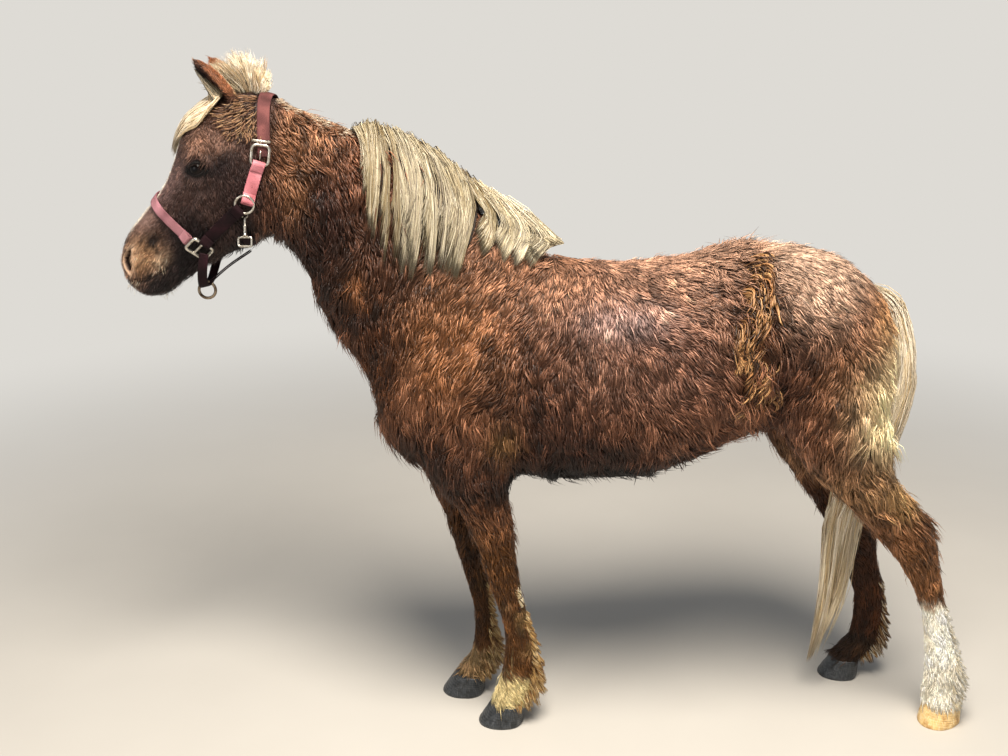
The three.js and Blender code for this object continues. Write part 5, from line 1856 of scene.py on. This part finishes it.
def horn(name, codes, gloss):
    """Horn with stains, and fine lines down it, which are drawn coarser than real ones, about 2 mm apart."""
    made, tree = material(name)
    place = add(tree, "TexCoord")
    stretch = add(tree, "Mapping", _0=place.outputs["Object"], _3=(1.0, 1.0, 0.08))
    lines = add(tree, "TexNoise", _0=stretch.outputs[0], Scale=520.0, Detail=4.0)
    blotch = add(tree, "TexNoise", _0=place.outputs["Object"], Scale=70.0, Detail=5.0)
    streaks = add(tree, "MapRange", _0=lines.outputs[0], _1=0.42, _2=0.68)
    stains = add(tree, "MapRange", _0=blotch.outputs[0], _1=0.45, _2=0.7)
    base = add(tree, "MixRGB", _0=streaks.outputs[0], _1=linear(codes[0]), _2=linear(codes[1]))
    faded = add(tree, "MixRGB", _0=0.55, _1=linear(codes[0]), _2=base.outputs[0])
    dirty = add(tree, "MixRGB", _0=stains.outputs[0], _1=faded.outputs[0], _2=linear(codes[2]))
    relief = add(tree, "Bump", Strength=0.5, Distance=0.0008, Height=lines.outputs[0])
    show(tree, add(tree, "BsdfPrincipled", Base_Color=dirty.outputs[0], Roughness=gloss), relief)
    return made


def measured_hoof(name):
    """The middle of a hoof at many heights, and how far off its wall is there all round."""
    points, triangles = solid_of(name)
    tree = ray_tree(points, triangles)
    highest = points[:, 2].max()
    height = np.linspace(0.0006, highest - 0.0006, HOOF_ROWS)
    foot = points[points[:, 2] < 0.001].mean(0)
    top = points[points[:, 2] > highest - 0.002].mean(0)
    middle = foot + (top - foot) * (height / highest)[:, None]
    middle[:, 2] = height
    far = np.zeros((HOOF_ROWS, HOOF_SECTORS))
    for row in range(HOOF_ROWS):
        for sector, way in enumerate(HOOF_WAYS):
            start = Vector(middle[row] + 0.3 * way)
            hit = tree.ray_cast(start, Vector(-way))[0]
            far[row, sector] = abs(0.3 - (start - hit).length) if hit else 0.03
    for _ in range(14):
        far = 0.5 * far + 0.25 * (np.roll(far, 1, axis=1) + np.roll(far, -1, axis=1))
    return middle, far, height[:, None]


dark_horn = horn("slate_hoof_horn", DARK_HORN, 0.34)
pale_horn = horn("ochre_hoof_horn", PALE_HORN, 0.5)
for name in LEG_BROWN:
    middle, far, height = measured_hoof(name + "_hoof")
    level = height / MM + 5 * np.cos(HOOF_TURN)[None]
    rings = 0.45 * np.sin(level * 2 * math.pi / RING_STEP) + 0.25 * np.sin(level * 2 * math.pi / FINE_STEP)
    wall = middle[:, None] + HOOF_WAYS[None] * (far + rings * MM * between(height, 0.002, 0.006))[..., None]
    chips = noise(wall.reshape(-1, 3), 0.012, 81).reshape(far.shape)
    wall = wall + HOOF_WAYS[None] * (0.0006 * chips)[..., None]
    wall[0, :, 2] = 0.0
    wall[0] -= 0.0008 * HOOF_WAYS
    points = np.concatenate([wall.reshape(-1, 3), [middle[0] * (1, 1, 0)], [middle[-1] + 0.001 * UP]])
    hoof = build(name + "_horn", points, [inside_out(f) for f in tipped_tube(HOOF_ROWS, HOOF_SECTORS)])
    if name == "near_hind":
        dressed(hoof, pale_horn, "pale_horn", name + "_hoof")
    else:
        dressed(hoof, dark_horn, "dark_horn", name + "_hoof")
print("hooves: four, with a ring every", RING_STEP, "mm")


# %% [markdown]
# The halter is made of flat woven webbing, which lies tight on the coat. A strap's way round the head is
# found by rays cast at the coat from outside, along both its edges and its middle, so that it tilts as the
# head does. Where a strap ends at a piece of metal it goes round the bar, comes back on itself and is sewn
# down.

# %% Ways of the straps
STRAP_OVER_COAT = 2.5 * MM
BAR_OVER_COAT = 7.4 * MM
WEBBING_THICKNESS = 2.6 * MM
FOLD_BACK = 17 * MM


def ray_on_coat(start, way):
    """Where a ray from outside meets the coat, or not a number where it misses."""
    hit = envelope.ray_cast(Vector(start), Vector(way))[0]
    return np.array(hit) if hit else np.full(3, np.nan)


def settled(edges):
    """Middle line, outward and sideways directions of a strap from its edges and middle on the coat."""
    left, middle, right = (line[~np.isnan(edges).any((0, 2))] for line in edges)
    for _ in range(12):
        for line in (left, middle, right):
            line[1:-1] = 0.5 * line[1:-1] + 0.25 * (line[:-2] + line[2:])
    wide = unit(right - left)
    line = (left + right + 2 * middle) / 4
    ahead = unit(np.gradient(line, axis=0))
    out = unit(np.cross(wide, ahead))
    inside = np.array([line[:, 0].mean(), 0.0, line[:, 2].mean()])
    out = out * np.sign(((line - inside) * out).sum())
    return line + out * STRAP_OVER_COAT, out, wide


def round_head(end, way, width, first, last):
    """A strap round the head, from a place in the side view and one way. Turns are in degrees."""
    along = unit(np.array([way[0], 0.0, way[1]]))
    aside = np.array([along[2], 0.0, -along[0]])
    edges = []
    for offset in (-width / 2, 0, width / 2):
        middle = np.array([end[0], 0.0, end[1]]) + offset * aside
        turns = np.radians(np.linspace(first, last, 90))
        ways = np.cos(turns)[:, None] * along + np.sin(turns)[:, None] * SIDEWAYS
        edges.append([ray_on_coat(middle + 0.3 * d, -d) for d in ways])
    return settled(np.array(edges))


def down_cheek(start, end, width, side):
    """A strap on one side of the head, straight from place to place in the side view."""
    start, end = np.array(start), np.array(end)
    along = unit(end - start)
    aside = np.array([along[1], -along[0]])
    edges = []
    for offset in (-width / 2, 0, width / 2):
        places = start + np.linspace(0, 1, 40)[:, None] * (end - start) + offset * aside
        edges.append([ray_on_coat((x, side * 0.4, z), (0, -side, 0)) for x, z in places])
    return settled(np.array(edges))


def trimmed(way, place, clear=0.0):
    """Cuts a strap's way where it comes nearest to a place, or a little before."""
    line, out, wide = way
    nearest = int(np.argmin(np.linalg.norm(line - place, axis=1)))
    left = np.linalg.norm(line - line[nearest], axis=1) >= clear
    keep = (np.arange(len(line)) <= nearest) & left
    return line[keep], out[keep], wide[keep]


def folded(way):
    """Adds a turn round a bar at the end of a strap's way, and a stretch that comes back over the strap."""
    line, out, wide = way
    radius = BAR_OVER_COAT - STRAP_OVER_COAT
    ahead = unit(line[-1] - line[-3])
    turns = np.linspace(0, math.pi, 12)[1:, None]
    bend = line[-1] + out[-1] * radius * (1 - np.cos(turns)) + ahead * radius * np.sin(turns)
    gone = np.linalg.norm(line - line[-1], axis=1)
    back = np.nonzero((gone > 2 * MM) & (gone < FOLD_BACK) & (np.arange(len(line)) > len(line) // 3))[0][::-1]
    lower = np.linspace(2 * radius, 2.5 * MM, len(back))[:, None]
    over = line[back] + out[back] * np.maximum(lower, 2.6 * MM)
    flip = math.pi * np.linspace(0, 1, 12)[1:, None]
    bent_out = out[-1] * np.cos(flip) + ahead * np.sin(flip)
    line = np.concatenate([line, bend, over])
    out = np.concatenate([out, bent_out, -out[back]])
    wide = np.concatenate([wide, np.repeat(wide[-1:], 11, 0), wide[back]])
    return line, out, wide


def reversed_way(way):
    """The same strap, begun at its other end."""
    return tuple(part[::-1] for part in way)


# %% [markdown]
# Webbing is woven flat from thick yarns, so it shows ribs across it, and its edges are rolled over and
# smooth. The halter is old: coral faded by the sun, darker in patches where the leather-like stain of sweat
# and dirt has soaked in. The straps on the lower cheeks, at the throat, the chin and the jaw are the same
# webbing painted dark maroon, which is painted shade, and the crown, which faces the lamp above, is painted
# darker than the other coral straps, which is painted shade too. Each strap's mesh carries its own map in
# millimetres, along and across, which the weave follows. The ribs are drawn twice as coarse as the real half
# millimetre, so that they show.

# %% Webbing
# one coral webbing, lighter or darker strap by strap, which is painted light and shade: the crown faces the
# lamp above and is painted darkest
CORAL = {
    "crown": ["#643c3b", "#482a29", "#86524f"],
    "cheek": ["#c67a82", "#a0575c", "#ea9ca4"],
    "nose": ["#a8757b", "#7d5057", "#d697a2"],
}
# the same coral webbing, painted dark maroon where it lies in shade: painted shade
CORAL_IN_SHADE = ["#1f0a0f", "#110508", "#3a1a23"]
# the thread on the shaded straps is painted darker: painted shade
THREAD = {"webbing": "#b96a6c", "dark_webbing": "#5b3a40"}
RIB = 1.1
YARN = 2.2
WAVE_PERIOD = 2 * math.pi / 20
# the rims of a punched hole: radius, and height over the webbing
EYELET = ((2.6, -0.3), (2.2, 0.35), (1.7, 0.1), (1.5, -0.4))


def webbing_material(name):
    """Ribbed webbing in the strap's painted colour."""
    made, tree = material(name)
    own = add(tree, "VertexColor", {"layer_name": "coat"})
    place = add(tree, "UVMap", {"uv_map": "weave"})
    ribs = add(tree, "TexWave", {"bands_direction": "X"}, _0=place.outputs[0], Scale=WAVE_PERIOD / RIB)
    yarns = add(tree, "TexWave", {"bands_direction": "Y"}, _0=place.outputs[0], Scale=WAVE_PERIOD / YARN)
    multiplied = {"blend_type": "MULTIPLY"}
    woven = add(tree, "MixRGB", multiplied, _0=1.0, _1=ribs.outputs[0], _2=yarns.outputs[0])
    tone = add(tree, "MapRange", _0=woven.outputs[0], _3=0.72, _4=1.12)
    shaded = add(tree, "VectorMath", {"operation": "SCALE"}, _0=own.outputs[0], Scale=tone.outputs[0])
    relief = add(tree, "Bump", Strength=0.8, Distance=0.0004, Height=woven.outputs[0])
    cloth = add(tree, "BsdfPrincipled", Base_Color=shaded.outputs[0], Roughness=0.72, Specular_IOR_Level=0.15)
    show(tree, cloth, relief)
    return made


webbing_paints = {
    "webbing": webbing_material("woven_coral_webbing"),
    "dark_webbing": webbing_material("shaded_coral_webbing"),
}


def strap_mesh(way, width, thickness):
    """Points, quads and weave map of a strap with rounded edges, swept along its way."""
    line, out, wide = way
    far = np.concatenate([[0], np.cumsum(np.linalg.norm(np.diff(line, axis=0), axis=1))])
    stations = np.linspace(0, far[-1], max(int(far[-1] / (1.8 * MM)), 6))
    line, out, wide = (np.stack([np.interp(stations, far, part[:, i]) for i in range(3)], 1) for part in way)
    out, wide = unit(out), unit(wide)
    turns = np.arange(28) * 2 * math.pi / 28
    across = np.sign(np.cos(turns)) * np.abs(np.cos(turns)) ** 0.45 * width / 2
    height = np.sign(np.sin(turns)) * np.abs(np.sin(turns)) ** 0.7 * thickness / 2
    end = np.minimum(stations, far[-1] - stations) / (1.5 * MM)
    taper = np.sqrt(np.clip(1 - (1 - np.clip(end, 0, 1)) ** 2, 0.02, 1))[:, None, None]
    fray = 0.25 * MM * np.sin(stations * 900)[:, None]
    frayed = across + fray * (np.abs(across) > width * 0.45)
    rings = line[:, None] + wide[:, None] * frayed[..., None]
    rings = rings + out[:, None] * height[None, :, None] * taper
    count = len(turns)
    points = rings.reshape(-1, 3)
    ring = np.arange(count)
    caps = np.concatenate([lid(ring), lid(ring + len(points) - count)[:, ::-1]])
    weave = np.stack([np.repeat(stations, count), np.tile(across, len(stations))], 1) / MM
    return points, tube(len(stations), count), caps, weave, (stations, line, out, wide)


def sewn(course, rows):
    """Stitches on a strap as small locks. Each row is (from, to, across from, across to) in millimetres."""
    stations, line, out, wide = course
    spines = []
    for start, stop, left, right in rows:
        length = math.hypot(stop - start, right - left)
        for i in range(int(length / 3.4)):
            ends = [(i + share) * 3.4 / length for share in (0.0, 0.4, 0.8)]
            spine = []
            for share, lift in zip(ends, (0.2, 0.75, 0.2)):
                at = (start + share * (stop - start)) * MM
                k = min(int(np.searchsorted(stations, at)), len(stations) - 1)
                rise = WEBBING_THICKNESS / 2 + lift * MM
                spine.append(line[k] + (at - stations[k]) * unit(line[k] - line[k - 1]) + out[k] * rise)
                spine[-1] = spine[-1] + wide[k] * (left + share * (right - left)) * MM
            spines.append((spine, out[min(int(np.searchsorted(stations, start * MM)), len(stations) - 1)]))
    if not spines:
        return np.empty((0, 3)), np.empty((0, 3), int)
    spine = np.array([s for s, _ in spines])
    facing = np.array([o for _, o in spines])
    width = np.full((len(spine), 3), 1.0 * MM)
    points, faces = locks(spine, width, width / 2, facing)
    return points.reshape(-1, 3), faces


def strap(name, node, way, width, slot, codes, rows=(), eyelets=()):
    """One strap of the halter, with its stitches and holes, in place of a node of the frame."""
    points, quads, caps, weave, course = strap_mesh(way, width, WEBBING_THICKNESS)
    stitch_points, stitch_faces = sewn(course, rows)
    stations, line, out, wide = course
    parts, faces = [points, stitch_points], [quads, caps, stitch_faces + len(points)]
    total = len(points) + len(stitch_points)
    dark = []
    for at in eyelets:
        k = int(np.searchsorted(stations, at * MM))
        turns = np.arange(16) * 2 * math.pi / 16
        ring = wide[k] * np.cos(turns)[:, None] + unit(np.cross(out[k], wide[k])) * np.sin(turns)[:, None]
        top = line[k] + out[k] * WEBBING_THICKNESS / 2
        rims = [top + ring * r * MM + out[k] * h * MM for r, h in EYELET]
        parts.append(np.concatenate(rims + [[top - 0.5 * MM * out[k]]]))
        ring = total + 48 + np.arange(16)
        faces.append(total + inside_out(tube(4, 16)))
        faces.append(np.stack([ring, np.roll(ring, -1), np.full(16, total + 64)], 1))
        dark.append((total + 32, total + 65))
        total += 65
    places = np.concatenate(parts)
    piece = build(name, places, [f.astype(int) for f in faces if len(f)])
    worn = noise(places, 0.018, 91)
    colours = plain(codes[0], len(places))
    colours = blended(colours, codes[1], between(worn, 0.0, 0.7) * 0.8)
    colours = blended(colours, codes[2], between(-worn, 0.1, 0.7) * 0.7)
    edge = np.zeros(len(places))
    edge[: len(points)] = between(np.abs(weave[:, 1]), width / MM / 2 - 2.2, width / MM / 2)
    colours = blended(colours, codes[1], 0.45 * edge)
    colours[len(points) : len(points) + len(stitch_points)] = linear(THREAD[slot])[:3]
    # painted shade: the walls and floor of each punched hole are painted near black
    for first, last in dark:
        colours[first:last] = linear("#1a0f0e")[:3]
    paint(piece, np.clip(colours, 0, 1))
    layer = piece.data.uv_layers.new(name="weave")
    full = np.zeros((len(places), 2))
    full[: len(points)] = weave
    corners = np.empty(len(piece.data.loops), np.int32)
    piece.data.loops.foreach_get("vertex_index", corners)
    layer.data.foreach_set("uv", full[corners].astype(np.float32).ravel())
    dressed(piece, webbing_paints[slot], slot, node)
    print(name + ":", round(stations[-1] / MM), "mm of webbing,", len(stitch_points) // 5, "stitches")


def sewn_end(total, width):
    """Rows of stitches where a strap is folded back: two along its edges and one across its end."""
    inner = total - FOLD_BACK / MM + 1
    half = width / MM / 2 - 2.5
    outer = total - 3
    return [(inner, outer, -half, -half), (inner, outer, half, half), (outer, outer, -half, half)]


def length_of(way):
    """The length of a strap's way in millimetres."""
    return float(np.linalg.norm(np.diff(way[0], axis=0), axis=1).sum() / MM)


# %% [markdown]
# The halter's metal is steel rod, bent and welded into frames and rings, and nickel plated. Years of use
# have worn it dull and brown in the corners. Each frame lies on the coat just as its solid in the CAD frame
# does: its axes are the directions in which the solid's corners spread most, less and least.

# %% Metal of the halter
WIRE = 2.6


def worn_metal(name, clean, brown, dullest):
    """Plated steel: a clean colour, brown grime in patches, and the roughness where it is dullest."""
    made, tree = material(name)
    place = add(tree, "TexCoord")
    grime = add(tree, "TexNoise", _0=place.outputs["Object"], Scale=160.0, Detail=6.0)
    scratch = add(tree, "TexNoise", _0=place.outputs["Object"], Scale=900.0, Detail=3.0)
    dull = add(tree, "MapRange", _0=grime.outputs[0], _1=0.45, _2=0.7)
    tint = add(tree, "MixRGB", _0=dull.outputs[0], _1=linear(clean), _2=linear(brown))
    rough = add(tree, "MapRange", _0=grime.outputs[0], _1=0.35, _2=0.7, _3=0.2, _4=dullest)
    relief = add(tree, "Bump", Strength=0.25, Distance=0.0003, Height=scratch.outputs[0])
    gloss = rough.outputs[0]
    show(tree, add(tree, "BsdfPrincipled", Base_Color=tint.outputs[0], Metallic=1.0, Roughness=gloss), relief)
    return made


nickel = worn_metal("worn_nickel_plate", "#cbc6bb", "#8a7d6c", 0.48)
# the lead's ring is worn through to the steel by the snap that hangs on it, and has gone dark and brown
browned_steel = worn_metal("browned_steel", "#8f7f6c", "#4b3a2c", 0.55)


def laid_out(node):
    """Centre of a flat piece of metal and its directions: up its length, across, and outward."""
    points, _ = solid_of(node)
    _, _, axes = np.linalg.svd(points - points.mean(0))
    spread = (points - points.mean(0)) @ axes.T
    centre = points.mean(0) + (spread.max(0) + spread.min(0)) / 2 @ axes
    up, _, out = axes
    out = out * (1 if out[1] * centre[1] > 0 else -1)
    up = up * (1 if up[2] > 0 else -1)
    return centre, up, np.cross(up, out), out


def rod(line, thick, closed=True, sides=14):
    """Points and faces of a round rod along a line. Thick is its radius, one number or one a point."""
    line = np.asarray(line)
    thick = np.broadcast_to(thick, len(line))
    if closed:
        ahead = unit(np.roll(line, -1, 0) - np.roll(line, 1, 0))
    else:
        ahead = unit(np.gradient(line, axis=0))
    flat = np.linalg.svd(line - line.mean(0))[2][2]
    across = unit(np.cross(ahead, flat))
    turns = np.arange(sides) * 2 * math.pi / sides
    ring = np.cos(turns)[:, None] * across[:, None] + np.sin(turns)[:, None] * flat
    points = (line[:, None] + thick[:, None, None] * ring).reshape(-1, 3)
    faces = [inside_out(tube(len(line), sides, closed))]
    if not closed:
        end = np.arange(sides)
        faces += [inside_out(lid(end)), lid(end + len(points) - sides)]
    return points, faces


def rounded_frame(width, height, corner):
    """Points round a rectangle with round corners, in the plane of across and up."""
    line = []
    for x, z, start in ((1, 1, 0), (-1, 1, 1), (-1, -1, 2), (1, -1, 3)):
        for turn in np.radians(np.linspace(90 * start, 90 * start + 90, 9)):
            place = x * (width / 2 - corner), z * (height / 2 - corner)
            line.append((place[0] + corner * math.cos(turn), place[1] + corner * math.sin(turn)))
    line = np.array(line)
    fine = []
    for a, b in zip(line, np.roll(line, -1, 0)):
        steps = max(int(np.linalg.norm(b - a) / 2.5), 1)
        fine += [a + (b - a) * i / steps for i in range(steps)]
    return np.array(fine)


def metal(name, node, rods, finish=nickel):
    """One piece of metal from its rods, in place of a node of the frame."""
    points, faces, total = [], [], 0
    for rod_points, rod_faces in rods:
        points.append(rod_points)
        faces += [f + total for f in rod_faces]
        total += len(rod_points)
    piece = build(name, np.concatenate(points), faces)
    dressed(piece, finish, "hardware", node)
    print(name + ":", sum(len(f) for f in faces), "faces")


def placed(layout, flat, lift=0.0):
    """Points given across and up in millimetres, laid in a piece's own directions."""
    centre, up, across, out = layout
    flat = np.asarray(flat, float)
    lifted = out * (np.asarray(lift) * MM)[..., None]
    return centre + (flat[:, :1] * across + flat[:, 1:2] * up) * MM + lifted


BUCKLE = (33.4, 47.4)
BUCKLE_GAP = 9
SQUARE = (32, 45)
RING_RADIUS = 18
LEAD_RING_RADIUS = 17
layouts = {}
for name in SIDES:
    piece = "halter_" + name
    buckle = laid_out(piece + "_buckle")
    layouts[name + "_buckle"] = buckle
    frame_line = rounded_frame(BUCKLE[0], BUCKLE[1] - BUCKLE_GAP, 9) - (0, BUCKLE_GAP / 2)
    keeper_x = np.linspace(-BUCKLE[0] / 2 - 1, BUCKLE[0] / 2 + 1, 14)
    keeper = np.stack([keeper_x, np.full(14, BUCKLE[1] / 2 - 1.5)], 1)
    keeper_lift = 3.5 * np.cos(keeper_x / BUCKLE[0] * math.pi)
    tongue_t = np.linspace(0, 1, 12)
    tongue = np.stack([np.zeros(12), 4 - 17 * tongue_t], 1)
    tongue_lift = 0.8 + 2.0 * np.sin(math.pi * tongue_t)
    frame_lift = 0.8 * np.cos(frame_line[:, 1] / BUCKLE[1] * math.pi)
    rods = [
        rod(placed(buckle, frame_line, frame_lift), 1.2 * WIRE * MM),
        rod(placed(buckle, keeper, keeper_lift), 1.15 * WIRE * MM, closed=False),
        rod(placed(buckle, tongue, tongue_lift), (1.7 - 0.5 * tongue_t) * MM, closed=False),
    ]
    metal(piece + "_buckle_rods", piece + "_buckle", rods)
    ring = laid_out(piece + "_ring")
    layouts[name + "_ring"] = ring
    turns = np.arange(56) * 2 * math.pi / 56
    circle = RING_RADIUS * np.stack([np.cos(turns), np.sin(turns)], 1)
    metal(piece + "_ring_rod", piece + "_ring", [rod(placed(ring, circle), WIRE * MM)])
    square = laid_out(piece + "_square")
    layouts[name + "_square"] = square
    frame_line = rounded_frame(*SQUARE, 6)
    middle_bar = [(x, 2.0) for x in np.linspace(-SQUARE[0] / 2, SQUARE[0] / 2, 8)]
    rods = [
        rod(placed(square, frame_line), 1.3 * WIRE * MM),
        rod(placed(square, middle_bar), 1.1 * WIRE * MM, closed=False),
    ]
    metal(piece + "_square_rods", piece + "_square", rods)
lead_ring = laid_out("halter_lead_ring")
circle = LEAD_RING_RADIUS * np.stack([np.cos(turns), np.sin(turns)], 1)
rods = [rod(placed(lead_ring, circle), 1.2 * WIRE * MM)]
metal("halter_lead_ring_rod", "halter_lead_ring", rods, browned_steel)

# the snap: a turned bar that widens to its swivel, with a thumb piece, a hook round the ring, and a loop
snap = laid_out("halter_throat_snap")
SNAP_TOP = 29
SNAP_NECK = -8
SNAP_LOOP = (26, 18)
bar_t = np.linspace(0, 1, 26)
# it leans by a thousandth of a millimetre, since a rod's line needs a plane
bar = np.stack([0.001 * bar_t, SNAP_TOP - (SNAP_TOP - SNAP_NECK) * bar_t], 1)
girth = 2.0 + 1.6 * bar_t + 1.4 * bump(bar_t, 0.93, 0.05) + 0.8 * bump(bar_t, 0.45, 0.04)
hook_turns = np.linspace(-0.4, 1.25, 16) * math.pi
hook = np.stack([5.2 * np.cos(hook_turns), SNAP_TOP + 4.5 + 5.2 * np.sin(hook_turns)], 1)
loop = rounded_frame(*SNAP_LOOP, 4) + (0, SNAP_NECK - SNAP_LOOP[1] / 2 - 1)
rods = [
    rod(placed(snap, bar), girth * MM, closed=False),
    rod(placed(snap, hook), 1.7 * MM, closed=False),
    rod(placed(snap, loop), 2.3 * MM),
]
metal("halter_throat_snap_rods", "halter_throat_snap", rods)

# %% [markdown]
# The straps meet the metal: the noseband and the lower cheek straps go round bars of the square, the
# cheekpieces hang from the buckles and hold the rings, and the crown passes under the buckle with a punched
# hole.

# %% Straps
WIDE_STRAP = 25 * MM
NOSE_STRAP = 20 * MM


def bar_of(name, x, z):
    """A place on one of the metal pieces, by millimetres across and up it."""
    return placed(layouts[name], [(x, z)])[0]


crown = round_head((-0.5781, 1.232), (-0.001, 1.0), WIDE_STRAP, -90, 90)
crown = trimmed(crown, bar_of("off_buckle", 0, -BUCKLE[1] / 2), 4 * MM)
crown = trimmed(reversed_way(crown), bar_of("near_buckle", 0, -BUCKLE[1] / 2), 4 * MM)
total = length_of(crown)
holes = (total - 8, total - 52, 8, 52)
strap("crown_webbing", "halter_crown", crown, WIDE_STRAP, "webbing", CORAL["crown"], eyelets=holes)

nose = round_head((-0.7411, 1.075), (-0.098, 0.102), NOSE_STRAP, -88, 88)
nose = folded(trimmed(nose, bar_of("off_square", 0, SQUARE[1] / 2)))
nose = folded(trimmed(reversed_way(nose), bar_of("near_square", 0, SQUARE[1] / 2)))
rows = sewn_end(length_of(nose), NOSE_STRAP)
strap("noseband_webbing", "halter_noseband", nose, NOSE_STRAP, "webbing", CORAL["nose"], rows)

for name, side in SIDES.items():
    cheek = down_cheek((-0.584, 1.240), (-0.6185, 1.140), WIDE_STRAP, side)
    cheek = folded(trimmed(cheek, bar_of(name + "_ring", 0, RING_RADIUS)))
    cheek = folded(trimmed(reversed_way(cheek), bar_of(name + "_buckle", 0, -BUCKLE[1] / 2)))
    total = length_of(cheek)
    rows = sewn_end(total, WIDE_STRAP)
    piece, node = name + "_cheekpiece_webbing", "halter_" + name + "_cheekpiece"
    strap(piece, node, cheek, WIDE_STRAP, "webbing", CORAL["cheek"], rows, (total * 0.45,))
    lower = down_cheek((-0.716, 1.063), (-0.622, 1.147), WIDE_STRAP, side)
    ring_centre = layouts[name + "_ring"][0]
    lower = folded(trimmed(lower, ring_centre + RING_RADIUS * MM * unit(lower[0][0] - ring_centre)))
    square_centre = layouts[name + "_square"][0]
    square_end = square_centre + 0.45 * SQUARE[0] * MM * unit(ring_centre - square_centre)
    lower = folded(trimmed(reversed_way(lower), square_end))
    rows = sewn_end(length_of(lower), WIDE_STRAP)
    piece, node = name + "_lower_cheek_webbing", "halter_" + name + "_lower_cheek"
    strap(piece, node, lower, WIDE_STRAP, "dark_webbing", CORAL_IN_SHADE, rows)

throat = round_head((-0.6251, 1.085), (-0.013, -0.085), WIDE_STRAP, -88, 122)
strap("throat_webbing", "halter_throat", throat, WIDE_STRAP, "dark_webbing", CORAL_IN_SHADE)

# %% [markdown]
# Two straps hang free of the coat: the chin strap, a loop from square to square that holds the lead's ring,
# and the jaw strap that runs back from it under the jaw. Each follows a smooth curve through a few places.

# %% Free straps
def curve_through(places, steps):
    """A smooth curve through a few places, with the tangent at each from its neighbours."""
    places = np.array(places)
    longer = np.concatenate([[2 * places[0] - places[1]], places, [2 * places[-1] - places[-2]]])
    line = []
    for i in range(len(places) - 1):
        a, b, c, d = longer[i : i + 4]
        for t in np.linspace(0, 1, steps, endpoint=False):
            bend = 2 * a - 5 * b + 4 * c - d
            twist = 3 * b - a - 3 * c + d
            line.append(0.5 * (2 * b + (c - a) * t + bend * t * t + twist * t**3))
    return np.array(line + [places[-1]])


CHIN_STRAP = 19 * MM
JAW_STRAP = 15 * MM
# places on one half of the chin strap, from the square to the middle, and on the jaw strap, in metres
chin_half = [
    (-0.7121, -0.064, 1.046),
    (-0.7201, -0.057, 1.010),
    (-0.7271, -0.034, 0.977),
    (-0.7291, 0.0, 0.967),
]
jaw_places = [(-0.634, 0.0, 1.040), (-0.6791, 0.0, 1.010), (-0.7131, 0.0, 0.982), (-0.722, 0.0, 0.972)]
chin_line = curve_through(chin_half + [(x, -y, z) for x, y, z in chin_half[-2::-1]], 12)
ahead = unit(np.gradient(chin_line, axis=0))
side_on = np.array([0.97, 0.0, 0.24])
chin_wide = unit(side_on - (ahead @ side_on)[:, None] * ahead)
chin = (chin_line, np.cross(chin_wide, ahead), chin_wide)
middle = length_of(chin) / 2
rows = [(middle - 12, middle + 12, -7.5, -7.5), (middle - 12, middle + 12, 7.5, 7.5)]
strap("chin_webbing", "halter_chin", chin, CHIN_STRAP, "dark_webbing", CORAL_IN_SHADE, rows)

jaw_line = curve_through(jaw_places, 14)
ahead = unit(np.gradient(jaw_line, axis=0))
jaw_wide = np.tile(SIDEWAYS, (len(jaw_line), 1))
jaw_out = np.cross(ahead, jaw_wide)
doubled = []
for shift in (-1.5 * MM, 1.5 * MM):
    doubled.append((jaw_line + jaw_out * shift, jaw_out * np.sign(shift), jaw_wide))
jaw = tuple(np.concatenate([a, b[::-1]]) for a, b in zip(*doubled))
strap("jaw_webbing", "halter_jaw_strap", jaw, JAW_STRAP, "dark_webbing", CORAL_IN_SHADE)

# %% [markdown]
# At the end the bounds of the dressed pony are worked out.

# %% Size and finish
low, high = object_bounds()
